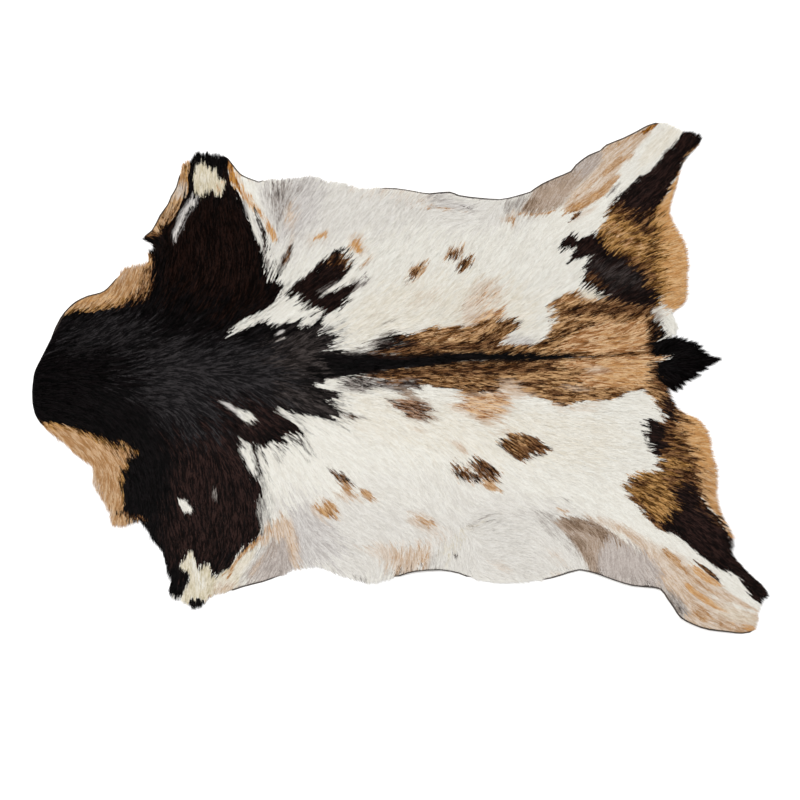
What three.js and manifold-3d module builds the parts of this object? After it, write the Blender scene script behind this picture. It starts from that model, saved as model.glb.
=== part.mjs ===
// A hair-on calfskin rug lying flat: neck to -X, tail to +X, the animal's back along the middle.
// Millimetres, +Z up, hair side up. The origin is on the floor under the centre of the skin's box.
import * as THREE from "three";
import { mergeVertices } from "three/addons/utils/BufferGeometryUtils.js";
import Module from "manifold-3d";

// Driving sizes
const HIDE_LENGTH = 1000; // from the neck's edge to the longest hind toe
const CHART_LENGTH = 73.9; // the same length in chart squares, each ten pixels of the reference photo
const SQUARE = HIDE_LENGTH / CHART_LENGTH; // one square of the chart
const RIM_THICKNESS = 2.4; // bare skin and thin hair at the cut edge
const PILE_THICKNESS = 7.5; // skin and the hair that lies on it, away from the edge
const RIM_WIDTH = 38; // the band in which the pile grows to its full height
const MESH_STEP = 20; // grid of the skin's two faces
const CURVE_STEPS = 2; // straight pieces for each charted place of a smooth edge
const CUTTER_DEPTH = 60;
const WELD = 1e-4; // points closer than this are one point
const MATERIAL = { color: 0xd9d4c6, roughness: 0.9, metalness: 0 };

// The outline, read by eye from the photo and charted in squares as [along, across], counted from the
// photo's pixel 400, 377: a row for each stretch of the edge, in turn. A stretch starts where the one
// before it ends. locks are tufts of hair, lockReach how far they stand out of it in millimetres.
const EDGE = [
  { part: "neck", places: [[-36.85, -2.6], [-36.9, -1.5], [-36.8, -0.3], [-36.6, 0.7], [-35.9, 2.1],
    [-35.0, 3.9], [-34.0, 5.9], [-33.2, 6.9], [-32.4, 7.6], [-31.2, 8.2], [-30.0, 8.5], [-29.3, 8.9],
    [-28.5, 9.8], [-27.8, 10.6], [-26.6, 11.2], [-25.4, 11.5]] },
  { part: "elbow tuft", places: [[-25.3, 12.3], [-25.05, 13.2], [-26.1, 13.75]] },
  { part: "left fore shank, front", places: [[-25.6, 14.2], [-24.9, 14.7], [-24.0, 16.2], [-23.2, 17.3],
    [-22.9, 18.1], [-22.4, 19.0], [-22.0, 20.5], [-21.7, 21.4], [-21.2, 21.5], [-20.5, 22.5]] },
  { part: "left fore toe", locks: 4, lockReach: 3, places: [[-18.9, 22.45], [-17.9, 22.2], [-17.1, 21.9]] },
  { part: "left fore shank, back", places: [[-16.5, 21.1], [-15.9, 20.4], [-15.1, 20.0], [-14.1, 19.65]] },
  { part: "left flank", places: [[-13.2, 19.9], [-11.6, 20.1], [-10.3, 20.2], [-8.7, 20.35], [-7.3, 19.8],
    [-5.8, 19.65], [-4.3, 19.15], [-2.5, 19.0], [-0.5, 18.95], [1.5, 18.65], [3.0, 18.4], [5.0, 18.55],
    [6.0, 18.2], [8.0, 17.95], [10.0, 17.85], [11.5, 18.15], [13.0, 18.6]] },
  { part: "left hind shank, front", places: [[14.1, 19.35], [15.5, 20.0], [17.0, 20.6], [17.5, 21.2],
    [18.8, 22.2], [20.0, 22.7], [20.6, 23.25], [22.3, 23.95], [23.8, 24.7], [24.8, 25.25],
    [26.1, 25.65]] },
  { part: "left hind toe", places: [[27.2, 25.45], [28.4, 24.8], [29.0, 24.85]] },
  { part: "left hind toe's end", locks: 4, lockReach: 3, places: [[29.9, 24.5], [30.1, 23.7]] },
  { part: "left hind shank, back", places: [[29.7, 22.9], [29.0, 22.2], [28.5, 21.5], [28.1, 20.4],
    [27.7, 19.0], [27.3, 17.7], [27.1, 16.6], [27.5, 15.3], [28.3, 13.9], [28.7, 12.8]] },
  { part: "left rump", places: [[28.85, 11.5], [28.75, 9.7], [28.65, 7.7], [28.4, 6.6], [27.8, 5.9],
    [27.65, 5.0], [27.5, 4.3]] },
  { part: "tail, left side", locks: 6, lockReach: 4, places: [[28.3, 4.0], [29.2, 3.6], [30.0, 3.2],
    [30.6, 2.7], [31.3, 1.95]] },
  { part: "tail's point", places: [[32.4, 1.7], [31.4, 1.4]] },
  { part: "tail, right side", locks: 6, lockReach: 4, places: [[31.0, 0.8], [30.2, 0.2], [29.3, -0.3],
    [28.7, -0.8], [28.4, -1.3]] },
  { part: "right rump", places: [[29.1, -2.3], [29.8, -3.4], [30.4, -4.7], [31.0, -6.2], [31.3, -7.9],
    [31.8, -9.4], [31.75, -11.1], [31.9, -12.6], [32.4, -14.0], [33.1, -15.4], [33.5, -17.0]] },
  { part: "right hind shank, back", places: [[33.3, -17.5], [34.1, -18.7], [35.2, -19.9], [36.4, -21.0],
    [37.0, -22.0]] },
  { part: "right hind toe", locks: 5, lockReach: 2, places: [[36.25, -22.6], [36.0, -23.8], [35.8, -25.0],
    [35.5, -25.5]] },
  { part: "right hind shank, front", places: [[34.2, -25.7], [32.8, -25.55], [30.8, -25.3],
    [29.3, -24.8], [28.0, -24.1], [27.3, -23.1], [26.6, -22.1], [26.0, -21.3], [24.8, -21.1],
    [23.2, -20.95], [21.5, -20.45], [20.0, -19.9], [18.8, -19.55], [17.9, -19.4]] },
  { part: "right flank", places: [[16.8, -19.7], [15.2, -20.2], [13.2, -20.5], [10.8, -20.65],
    [8.7, -20.5], [7.2, -20.25], [5.9, -19.75], [4.0, -19.4], [1.5, -19.55], [0.2, -19.9], [-1.2, -20.3],
    [-3.0, -20.75], [-4.4, -20.4], [-6.0, -19.95], [-7.3, -19.45], [-8.5, -19.25], [-10.0, -19.5],
    [-11.8, -19.95], [-13.8, -20.6]] },
  { part: "right fore shank, back", places: [[-15.8, -21.1], [-17.5, -21.7], [-19.0, -22.2]] },
  { part: "right fore toe", locks: 5, lockReach: 2, places: [[-19.5, -22.9], [-20.6, -23.4],
    [-21.3, -22.9], [-22.0, -22.45], [-22.9, -22.0]] },
  { part: "right fore shank, front", places: [[-23.15, -21.2], [-23.0, -20.4], [-23.3, -19.2],
    [-23.6, -18.0], [-24.1, -17.1], [-25.0, -16.0], [-25.4, -15.2], [-26.2, -14.55]] },
  { part: "chest", places: [[-27.0, -14.8], [-28.0, -15.1], [-28.9, -14.5], [-29.1, -13.5],
    [-29.7, -12.3], [-30.3, -11.2], [-30.7, -10.1], [-30.8, -9.0], [-31.4, -8.4], [-32.7, -7.4],
    [-34.0, -6.1], [-35.2, -5.3], [-36.0, -4.7], [-36.6, -3.7], [-36.85, -2.6]] },
];

// Where the edge has dried up off the floor: a place in squares, how far it runs, how high it stands.
const LIFTS = [
  { along: -23.8, across: 16.6, reach: 74, rise: 5 },
  { along: -35.2, across: -5.3, reach: 64, rise: 4 },
  { along: 0.5, across: 18.9, reach: 88, rise: 5 },
  { along: 9.0, across: 17.9, reach: 80, rise: 6 },
  { along: 18.5, across: 22.0, reach: 96, rise: 6 },
  { along: -20.5, across: -22.6, reach: 48, rise: 3 },
  { along: 2.5, across: -19.5, reach: 72, rise: 6 },
  { along: 21.0, across: -20.3, reach: 96, rise: 6 },
  { along: 27.6, across: -23.0, reach: 64, rise: 7 },
  { along: 31.5, across: -25.3, reach: 58, rise: 4 },
];
const LIFT_BAND = 44; // how far in from the edge a lift fades out

// Low swells of skin and hair: a place and a half width each way in squares, a turn, a height.
const SWELLS = [
  { name: "tail", along: 28.7, across: 1.4, halfLength: 3.2, halfWidth: 2.2, turn: 0, rise: 9 },
  { name: "left stifle", along: 6.5, across: 17.2, halfLength: 4.5, halfWidth: 0.9, turn: -6, rise: 3.5 },
  { name: "right stifle", along: 19.5, across: -15.2, halfLength: 5.5, halfWidth: 1.1, turn: -24, rise: 3.5 },
  { name: "right flank", along: 8.5, across: -14.6, halfLength: 4.5, halfWidth: 1.2, turn: 8, rise: 2.5 },
  { name: "backbone", along: -2, across: 1.6, halfLength: 26, halfWidth: 2.6, turn: 0, rise: 2 },
  { name: "withers", along: -19, across: -2, halfLength: 6, halfWidth: 7, turn: 0, rise: 1.5 },
];

/** A charted place in millimetres. */
function placed([along, across]) {
  return new THREE.Vector2(along, across).multiplyScalar(SQUARE);
}

/** The points of one stretch of the edge from where the last one ended, without its first point. */
function stretchPoints(start, row) {
  const curve = new THREE.SplineCurve([start, ...row.places.map(placed)]);
  if (!row.locks) return curve.getPoints(CURVE_STEPS * row.places.length).slice(1);
  const points = [];
  for (let k = 1; k <= 2 * row.locks; k += 1) {
    const at = k / (2 * row.locks);
    const point = curve.getPointAt(at);
    const ahead = curve.getTangentAt(at);
    const outward = new THREE.Vector2(-ahead.y, ahead.x);
    if (k % 2 === 1) point.addScaledVector(outward, row.lockReach);
    points.push(point);
  }
  return points;
}

/** The whole edge, as points in turn, moved so that its box is centred on the origin. */
function outline() {
  let end = placed(EDGE.at(-1).places.at(-1));
  const points = [];
  for (const row of EDGE) {
    const stretch = stretchPoints(end, row);
    points.push(...stretch);
    end = stretch.at(-1);
  }
  const centre = new THREE.Box2().setFromPoints(points).getCenter(new THREE.Vector2());
  points.forEach((point) => point.sub(centre));
  return { points, centre };
}

/** How far a place is from the nearest edge. */
function distanceToEdge(x, y, points) {
  let nearest = Infinity;
  points.forEach((a, k) => {
    const b = points[(k + 1) % points.length];
    const length = (b.x - a.x) ** 2 + (b.y - a.y) ** 2;
    const share = ((x - a.x) * (b.x - a.x) + (y - a.y) * (b.y - a.y)) / length;
    const t = THREE.MathUtils.clamp(share, 0, 1);
    nearest = Math.min(nearest, Math.hypot(x - a.x - t * (b.x - a.x), y - a.y - t * (b.y - a.y)));
  });
  return nearest;
}

/** A smooth hill of height 1 in the middle of an oval, which has all but gone at twice its width. */
function hill(x, y, row, centre) {
  const turn = THREE.MathUtils.degToRad(row.turn);
  const dx = x + centre.x - row.along * SQUARE;
  const dy = y + centre.y - row.across * SQUARE;
  const u = (dx * Math.cos(turn) + dy * Math.sin(turn)) / (row.halfLength * SQUARE);
  const v = (dy * Math.cos(turn) - dx * Math.sin(turn)) / (row.halfWidth * SQUARE);
  return Math.exp(-(u * u + v * v));
}

/** How high the skin's underside stands off the floor. */
function undersideHeight(x, y, edgeGap, centre) {
  const fade = 1 - THREE.MathUtils.smoothstep(edgeGap, 0, LIFT_BAND);
  let height = 0;
  for (const row of LIFTS) {
    const gap = Math.hypot(x + centre.x - row.along * SQUARE, y + centre.y - row.across * SQUARE);
    height += row.rise * fade * (1 - THREE.MathUtils.smoothstep(gap, 0, row.reach));
  }
  return height;
}

/** How thick skin and hair are together. */
function thickness(x, y, edgeGap, centre) {
  const grown = THREE.MathUtils.smoothstep(edgeGap, 0, RIM_WIDTH);
  let total = RIM_THICKNESS + (PILE_THICKNESS - RIM_THICKNESS) * grown;
  for (const row of SWELLS) total += row.rise * hill(x, y, row, centre) * grown;
  return total;
}

/** A closed slab over the whole box, its two faces shaped as the skin's are. */
function reliefSlab(points, centre) {
  const box = new THREE.Box2().setFromPoints(points).expandByScalar(MESH_STEP);
  const size = box.getSize(new THREE.Vector2());
  const nx = Math.ceil(size.x / MESH_STEP);
  const ny = Math.ceil(size.y / MESH_STEP);
  const positions = [];
  for (let i = 0; i <= nx; i += 1) {
    for (let j = 0; j <= ny; j += 1) {
      const x = box.min.x + (size.x * i) / nx;
      const y = box.min.y + (size.y * j) / ny;
      const edgeGap = distanceToEdge(x, y, points);
      const low = undersideHeight(x, y, edgeGap, centre);
      positions.push(x, y, low, x, y, low + thickness(x, y, edgeGap, centre));
    }
  }
  const low = (i, j) => 2 * (i * (ny + 1) + j);
  const high = (i, j) => low(i, j) + 1;
  const index = [];
  const quad = (a, b, c, d) => index.push(a, b, c, a, c, d);
  for (let i = 0; i < nx; i += 1) {
    for (let j = 0; j < ny; j += 1) {
      quad(high(i, j), high(i + 1, j), high(i + 1, j + 1), high(i, j + 1));
      quad(low(i, j), low(i, j + 1), low(i + 1, j + 1), low(i + 1, j));
    }
    quad(low(i, 0), low(i + 1, 0), high(i + 1, 0), high(i, 0));
    quad(low(i + 1, ny), low(i, ny), high(i, ny), high(i + 1, ny));
  }
  for (let j = 0; j < ny; j += 1) {
    quad(low(0, j + 1), low(0, j), high(0, j), high(0, j + 1));
    quad(low(nx, j), low(nx, j + 1), high(nx, j + 1), high(nx, j));
  }
  const slab = new THREE.BufferGeometry();
  slab.setAttribute("position", new THREE.Float32BufferAttribute(positions, 3));
  slab.setIndex(index);
  return slab;
}

/** A straight-sided block with the skin's outline, taller than the slab. */
function cutter(points) {
  const block = new THREE.ExtrudeGeometry(new THREE.Shape(points), {
    depth: CUTTER_DEPTH,
    bevelEnabled: false,
    steps: 1,
  });
  return block.translate(0, 0, -CUTTER_DEPTH / 2);
}

/** A three.js geometry as a manifold solid. */
function solidOf(geometry, wasm) {
  geometry.deleteAttribute("normal");
  geometry.deleteAttribute("uv");
  const merged = mergeVertices(geometry, WELD);
  return new wasm.Manifold(new wasm.Mesh({
    numProp: 3,
    vertProperties: new Float32Array(merged.attributes.position.array),
    triVerts: new Uint32Array(merged.index.array),
  }));
}

/** The hide: the shaped slab, cut to the outline. */
async function hideGeometry() {
  const wasm = await Module();
  wasm.setup();
  const { points, centre } = outline();
  const cut = solidOf(reliefSlab(points, centre), wasm).intersect(solidOf(cutter(points), wasm));
  const mesh = cut.getMesh();
  const geometry = new THREE.BufferGeometry();
  geometry.setAttribute("position", new THREE.BufferAttribute(new Float32Array(mesh.vertProperties), 3));
  geometry.setIndex(new THREE.BufferAttribute(new Uint32Array(mesh.triVerts), 1));
  geometry.computeVertexNormals();
  return geometry;
}

const rug = new THREE.Group();
const hide = new THREE.Mesh(await hideGeometry(), new THREE.MeshStandardMaterial(MATERIAL));
hide.name = "hide";
rug.add(hide);

export default rug;
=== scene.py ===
# %% [markdown]
# # A hair-on calfskin rug, hair by hair
#
# The real rug is one whole skin, tanned with its coat on. What the eye reads is the coat: how the hair is
# combed by the animal's shape, and where one colour gives way to the next. So this lesson makes the leather
# as one thin sheet, and then grows real strands of hair on it.

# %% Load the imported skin
import math

import bmesh
import bpy
import numpy as np
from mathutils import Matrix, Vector
from mathutils.bvhtree import BVHTree
from mathutils.geometry import delaunay_2d_cdt


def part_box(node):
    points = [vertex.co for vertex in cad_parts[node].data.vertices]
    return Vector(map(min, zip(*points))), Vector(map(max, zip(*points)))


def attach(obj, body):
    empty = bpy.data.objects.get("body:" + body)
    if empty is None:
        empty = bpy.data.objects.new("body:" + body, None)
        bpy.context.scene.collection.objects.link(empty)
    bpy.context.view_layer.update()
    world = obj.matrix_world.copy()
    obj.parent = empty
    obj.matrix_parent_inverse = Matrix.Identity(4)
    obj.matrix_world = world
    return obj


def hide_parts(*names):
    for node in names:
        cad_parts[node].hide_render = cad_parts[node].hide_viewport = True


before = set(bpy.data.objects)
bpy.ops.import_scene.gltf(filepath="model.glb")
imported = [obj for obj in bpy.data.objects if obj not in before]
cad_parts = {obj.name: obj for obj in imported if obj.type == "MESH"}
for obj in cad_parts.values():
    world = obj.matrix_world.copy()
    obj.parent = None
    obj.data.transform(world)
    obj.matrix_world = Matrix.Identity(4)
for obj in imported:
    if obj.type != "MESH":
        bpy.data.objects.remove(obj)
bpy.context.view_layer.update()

MM = 0.001
low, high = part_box("hide")


def in_scene(name, data):
    """A new object that shows the data, put into the scene."""
    thing = bpy.data.objects.new(name, data)
    bpy.context.scene.collection.objects.link(thing)
    return thing


print("the skin measures", [round(side, 3) for side in high - low], "metres")

# %% [markdown]
# ## The chart
#
# The reference photo shows the skin from straight above, 800 pixels wide and high. A chart of squares lies
# over it, and a square is ten of its pixels. The first axis runs along the back (tail end positive) and the
# second one across it (the animal's left side positive). The places that say how the hair lies and how long
# it is are given in squares, and those of edges and markings in the photo's own pixels. All of them were
# read from enlarged views of the photo with a pixel grid drawn over them. The other way would be to
# lay a picture on the skin, but a picture can't tell each hair where to lie.

# %% Squares of the chart
SQUARES_LONG = 73.9
FIRST_SQUARE = -36.9
MIDDLE_SQUARE = -0.025
SQUARE = (high.x - low.x) / SQUARES_LONG


def to_metres(along, across):
    """A place on the chart as metres on the floor."""
    x = low.x + (along - FIRST_SQUARE) * SQUARE
    y = (low.y + high.y) / 2 + (across - MIDDLE_SQUARE) * SQUARE
    return x, y


def to_squares(x, y):
    """Metres on the floor as a place on the chart."""
    along = FIRST_SQUARE + (x - low.x) / SQUARE
    across = MIDDLE_SQUARE + (y - (low.y + high.y) / 2) / SQUARE
    return along, across


print("one square is", round(SQUARE / MM, 2), "mm")

# %% [markdown]
# Most things here vary slowly over the skin: the height of the leather, the way the hair lies, the distance
# to the edge. Each is worked out once on a coarse grid of the chart and then read between its points. A
# plain loop over every hair would take minutes, and reading a grid takes a blink.

# %% Slow values on a grid
GRID_STEP = 0.3
GRID_LOW = (-39.0, -28.0)
GRID_HIGH = (39.0, 28.0)
LAST_CELL = 1.001  # a little over one, so that every place has a cell above and beside it


class Field:
    """Values on a grid of the chart, read at any place between its points."""

    def __init__(self, values, step):
        self.values = values
        self.step = step

    def at(self, along, across):
        rows, columns = self.values.shape[:2]
        column = np.clip((along - GRID_LOW[0]) / self.step, 0, columns - LAST_CELL)
        row = np.clip((across - GRID_LOW[1]) / self.step, 0, rows - LAST_CELL)
        i, j = row.astype(int), column.astype(int)
        up, right = row - i, column - j
        if self.values.ndim == 3:
            up, right = up[..., None], right[..., None]
        near = self.values[i, j] * (1 - right) + self.values[i, j + 1] * right
        far = self.values[i + 1, j] * (1 - right) + self.values[i + 1, j + 1] * right
        return near * (1 - up) + far * up


grid_along = np.arange(GRID_LOW[0], GRID_HIGH[0], GRID_STEP)
grid_across = np.arange(GRID_LOW[1], GRID_HIGH[1], GRID_STEP)
GRID = np.meshgrid(grid_along, grid_across)
print("the grid has", GRID[0].size, "points")

# %% [markdown]
# ## The edge and the lie of the leather
#
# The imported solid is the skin's true outline with its lifted edges. Its underside is where the leather
# lies, so the rim of the underside faces gives the outline, and rays sent up from below give the height.

# %% Read the solid's outline and its underside
BELOW_ALL = -1.0
UNDERSIDE = -0.5
WELD = 0.01 * MM


def merged_copy(node):
    """The solid as one joined mesh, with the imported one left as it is."""
    mesh = bmesh.new()
    mesh.from_mesh(node.data)
    bmesh.ops.remove_doubles(mesh, verts=mesh.verts, dist=WELD)
    mesh.normal_update()
    return mesh


def rim_of_underside(mesh):
    """The loop of places between the underside and the cut edge, in chart squares."""
    below = {face for face in mesh.faces if face.normal.z < UNDERSIDE}
    ways = {}
    for face in below:
        for loop in face.loops:
            others = [other for other in loop.edge.link_faces if other is not face and other in below]
            if not others:
                ways[loop.vert] = loop.link_loop_next.vert
    start = max(ways, key=lambda vert: vert.co.x)
    rim, vert = [start], ways[start]
    while vert is not start and len(rim) <= len(ways):
        rim.append(vert)
        vert = ways[vert]
    return np.array([to_squares(vert.co.x, vert.co.y) for vert in rim])


solid = merged_copy(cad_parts["hide"])
OUTLINE = rim_of_underside(solid)
tree = BVHTree.FromBMesh(solid)


def underside_height(along, across):
    """How high the leather's underside lies above the floor."""
    x, y = to_metres(along, across)
    hit = tree.ray_cast(Vector((x, y, BELOW_ALL)), Vector((0, 0, 1)))[0]
    if hit is None:
        hit = tree.find_nearest(Vector((x, y, 0)))[0]
    return hit.z


heights = [underside_height(a, b) for a, b in zip(GRID[0].ravel(), GRID[1].ravel())]
LEATHER_BASE = Field(np.array(heights).reshape(GRID[0].shape), GRID_STEP)
solid.free()
print(len(OUTLINE), "places on the outline, highest lift", round(max(heights) / MM, 1), "mm")

# %% Distance to a drawn loop
TINY = 1e-12  # keeps a division by a length of zero from failing


def gap_to_path(along, across, path):
    """How far each place is from a path of straight runs, in squares."""
    nearest = np.full(np.shape(along), np.inf)
    for (a, b), (c, d) in zip(path[:-1], path[1:]):
        run, rise = c - a, d - b
        share = ((along - a) * run + (across - b) * rise) / (run * run + rise * rise + TINY)
        share = np.clip(share, 0, 1)
        nearest = np.minimum(nearest, (along - a - share * run) ** 2 + (across - b - share * rise) ** 2)
    return np.sqrt(nearest)


def depth_inside(along, across, loop):
    """How far each place is inside a closed loop, in squares. It is negative outside."""
    loop = np.asarray(loop, float)
    path = np.vstack([loop, loop[:1]])
    inside = np.zeros(np.shape(along), bool)
    for (a, b), (c, d) in zip(path[:-1], path[1:]):
        if d != b:
            inside ^= ((b > across) != (d > across)) & (along < a + (across - b) * (c - a) / (d - b))
    return np.where(inside, 1, -1) * gap_to_path(along, across, path)


EDGE_DEPTH = Field(depth_inside(*GRID, OUTLINE), GRID_STEP)
slope_across, slope_along = np.gradient(EDGE_DEPTH.values, GRID_STEP)
OUTWARD = Field(np.stack([-slope_along, -slope_across], axis=-1), GRID_STEP)
covered = float((EDGE_DEPTH.values > 0).sum()) * (GRID_STEP * SQUARE) ** 2
print("the skin covers", round(covered, 3), "square metres")

# %% [markdown]
# ## The combing chart
#
# Hair on a skin lies from the neck towards the tail along the back, slopes down over the flanks, runs down
# each leg, and turns in small whorls at the folds of the groin. Each row is a place and the way the hair
# points there, in degrees: 0 is towards the tail and 90 is out to the animal's left. Between the rows the
# directions are blended by distance, as a comb would smooth them.

# %% The way the hair lies
COMBING = [
    # along, across, degrees
    (-35.0, -1.3, 0), (-34.0, 2.7, 15), (-34.0, 5.7, 30), (-33.0, -3.8, -15), (-30.0, 0.7, 5),
    (-29.0, 4.7, 30), (-28.0, 9.2, 65), (-30.0, 7.7, 40), (-26.0, 10.2, 75), (-34.0, -5.3, -35),
    (-32.0, -6.3, -45), (-30.0, -7.3, -55), (-28.0, -7.3, -60), (-30.0, -10.3, -85), (-28.5, -12.3, -90),
    (-29.0, -13.8, -95), (-30.0, -2.3, -25), (-29.0, -4.3, -45), (-25.0, 2.7, 20), (-24.0, -1.3, 0),
    (-25.0, -4.8, -50), (-22.0, -5.3, -55), (-20.0, -2.3, -30), (-20.0, 3.7, 25), (-22.0, 7.7, 60),
    (-24.0, 10.7, 75), (-25.8, 13.8, 170), (-22.5, 16.2, 60), (-21.8, 19.2, 75), (-20.0, 12.7, 92),
    (-19.5, 17.7, 90), (-19.2, 20.2, 90), (-19.5, 21.9, 95), (-17.5, 21.7, 80), (-16.8, 20.2, 100),
    (-16.0, 17.7, 110), (-14.5, 15.2, 115), (-17.0, 13.7, 95), (-16.0, 9.7, 85), (-17.5, 6.7, 60),
    (-15.0, 5.7, 35), (-15.5, 2.7, 15), (-12.5, 18.7, 90), (-10.0, 17.7, 50), (-11.7, 12.2, 68),
    (-10.0, 13.7, 55), (-7.0, 8.7, 40), (-10.0, 5.7, 35), (-5.0, 13.2, 55), (-3.0, 11.5, 45),
    (-7.0, 16.7, 50), (0.0, 15.7, 58), (0.0, 18.2, 50), (1.6, 10.6, 55), (6.0, 11.9, 62), (5.0, 17.2, 0),
    (8.0, 17.2, 20), (10.0, 16.2, 70), (14.0, 18.2, 60), (16.0, 18.7, 50), (19.0, 20.7, 45),
    (18.0, 16.7, 35), (20.0, 18.7, 42), (22.5, 21.7, 38), (24.0, 23.7, 38), (29.0, 24.2, 60),
    (27.0, 21.7, 50), (24.0, 18.7, 42), (22.0, 15.2, 25), (25.0, 16.2, 40), (27.0, 12.7, 15),
    (28.0, 9.7, 10), (27.5, 7.2, 20), (24.0, 12.7, 20), (20.0, 12.7, 45), (17.0, 13.2, 45),
    (18.5, 10.7, 42), (22.0, 9.7, 35), (12.0, 11.7, 55), (8.0, 8.7, 45), (4.0, 7.7, 45), (-2.0, 7.7, 40),
    (-5.0, 5.7, 35), (-6.0, 4.2, 20), (-6.0, 1.5, 0), (0.0, 1.5, 0), (5.0, 2.0, 2), (17.0, 2.0, 2),
    (24.0, 2.4, 5), (5.0, 3.9, 17), (0.0, 3.4, 15), (9.0, 5.7, 35), (12.0, 5.2, 30), (16.0, 4.2, 22),
    (20.0, 3.2, 10), (22.0, 5.7, 25), (25.0, 4.7, 40), (-5.0, -0.8, -8), (5.0, -0.8, -8), (16.0, -0.8, -5),
    (22.0, -0.3, -3), (8.0, -3.3, -10), (1.5, -3.1, -15), (-5.5, -3.8, -25), (-7.0, -6.3, -35),
    (2.0, -5.3, -30), (6.0, -7.0, -40), (12.0, -7.0, -33), (8.0, -9.1, -45), (16.0, -7.3, -15),
    (20.0, -7.3, -12), (24.0, -6.3, -10), (26.0, -3.3, -25), (25.5, -5.3, -15), (27.0, -6.3, -8),
    (30.0, -5.3, -8), (28.0, -10.3, -18), (25.0, -11.3, -22), (31.5, -11.3, -25), (29.0, -13.3, -30),
    (26.0, -14.3, -38), (30.0, -16.3, -40), (32.5, -17.8, -45), (34.5, -20.3, -45), (36.0, -21.8, -40),
    (24.0, -15.3, -35), (28.0, -17.3, -38), (32.0, -20.3, -35), (30.0, -22.3, -32), (34.0, -23.8, -22),
    (31.5, -24.8, -25), (28.0, -22.3, -50), (25.0, -19.3, -50), (20.0, -12.3, -30), (16.0, -12.3, -32),
    (10.0, -12.3, -35), (5.0, -11.3, -60), (3.0, -10.3, -60), (0.0, -7.3, -40), (-2.0, -12.3, -30),
    (-5.5, -10.3, -45), (-7.5, -13.3, -50), (-10.0, -7.3, -55), (-14.0, -8.3, -60), (-14.0, -12.3, -80),
    (-10.0, -12.3, -60), (2.0, -14.3, -35), (-7.0, -15.3, -30), (-5.0, -17.3, -30), (-10.0, -18.3, -60),
    (-11.0, -16.3, -75), (-13.0, -18.3, -120), (-15.0, -19.3, -130), (-17.0, -20.3, -135),
    (-0.5, -19.9, -110), (2.5, -18.3, -100), (6.0, -17.3, -85), (10.0, -16.8, 0), (10.0, -19.3, -20),
    (9.0, -14.5, 20), (16.0, -15.8, -45), (19.0, -14.8, -35), (20.0, -17.3, -85), (22.0, -18.3, -90),
    (24.0, -18.3, -75), (-20.0, -9.3, -85), (-21.3, -13.0, -72), (-18.5, -11.8, -88), (-24.0, -10.3, -85),
    (-26.0, -9.3, -70), (-25.0, -14.3, -85), (-23.5, -16.8, -75), (-17.5, -14.3, -88), (-16.0, -12.3, -85),
    (-15.5, -16.3, -100), (-21.0, -17.3, -88), (-22.2, -20.8, -100), (-20.0, -20.8, -90),
    (-20.5, -22.8, -90), (-18.5, -21.3, -110), (-16.0, -3.3, -35), (-11.5, -5.8, -30), (-14.5, -7.3, -62),
    (-16.5, -6.3, -50),
]
COMB_REACH = 1.0
BLEND_POWER = 2.0


def blend_by_distance(rows, values, reach):
    """Blends the rows' values over the grid, each strongest near its own place."""
    total = np.zeros(GRID[0].shape + (values.shape[1],))
    weights = np.zeros(GRID[0].shape)
    for (along, across), value in zip(rows, values):
        gap = (GRID[0] - along) ** 2 + (GRID[1] - across) ** 2 + reach**2
        weight = gap**-BLEND_POWER
        total += weight[..., None] * value
        weights += weight
    return total / weights[..., None]


def unit(vectors):
    """The vectors at length one."""
    return vectors / (np.linalg.norm(vectors, axis=-1, keepdims=True) + TINY)


comb_rows = np.array(COMBING)
comb_angles = np.radians(comb_rows[:, 2])
comb_ways = np.stack([np.cos(comb_angles), np.sin(comb_angles)], axis=-1)
FLOW = Field(unit(blend_by_distance(comb_rows[:, :2], comb_ways, COMB_REACH)), GRID_STEP)
print(len(COMBING), "combing marks")

# %% [markdown]
# ## The cut edge
#
# Along some stretches of the belly, the hind legs and the neck the hair lies back from the cut, so that the
# bare edge of the leather shows as a thin dark line: the dark cut itself, with painted shadow of the lifted
# edge. Those stretches are drawn here in pixels of the photo, as column and row from its upper left corner,
# and so are the markings below. Along other stretches long hairs hang out over the edge in a loose fringe,
# and those are drawn here too.

# %% Bare edges and fringes
PIXELS_PER_SQUARE = 10
CHART_ORIGIN_PIXEL = (400, 377)
EDGE_SHOWN = 0.17
EDGE_NEAR = 0.7
BARE_EDGES = [
    [(386, 186), (412, 189), (432, 192), (450, 190), (465, 196), (500, 198), (530, 191), (548, 179),
        (570, 170), (582, 160), (602, 147), (620, 138), (640, 133), (652, 126)],
    [(58, 322), (70, 306), (85, 298), (100, 292), (112, 284)],
    [(150, 231), (160, 213), (170, 199), (177, 184)],
    [(232, 160), (240, 171), (250, 178), (258, 180)],
    [(238, 590), (262, 585), (276, 581)],
    [(402, 574), (430, 570), (450, 571), (462, 574)],
    [(548, 578), (565, 575), (580, 571), (600, 576), (625, 584), (650, 587), (660, 589), (668, 600),
        (680, 615), (700, 627), (720, 631), (745, 634)],
]
FRINGES = [
    [(300, 573), (318, 569), (340, 576), (358, 578), (372, 584), (390, 579)],
    [(462, 576), (486, 581), (508, 583), (536, 579), (552, 577)],
    [(52, 430), (67, 441), (90, 461), (94, 484), (101, 502), (110, 522), (120, 527), (131, 523), (144, 524),
        (153, 538), (158, 549), (167, 565), (169, 585), (174, 597)],
    [(677, 192), (673, 211), (679, 231), (687, 254), (687, 284), (684, 306)],
    [(687, 394), (705, 430), (718, 466), (723, 498), (734, 541)],
    [(104, 288), (112, 281), (124, 269), (139, 262), (147, 246)],
    [(191, 158), (204, 151), (220, 154)],
    [(310, 171), (330, 175), (350, 180)],
]


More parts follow.
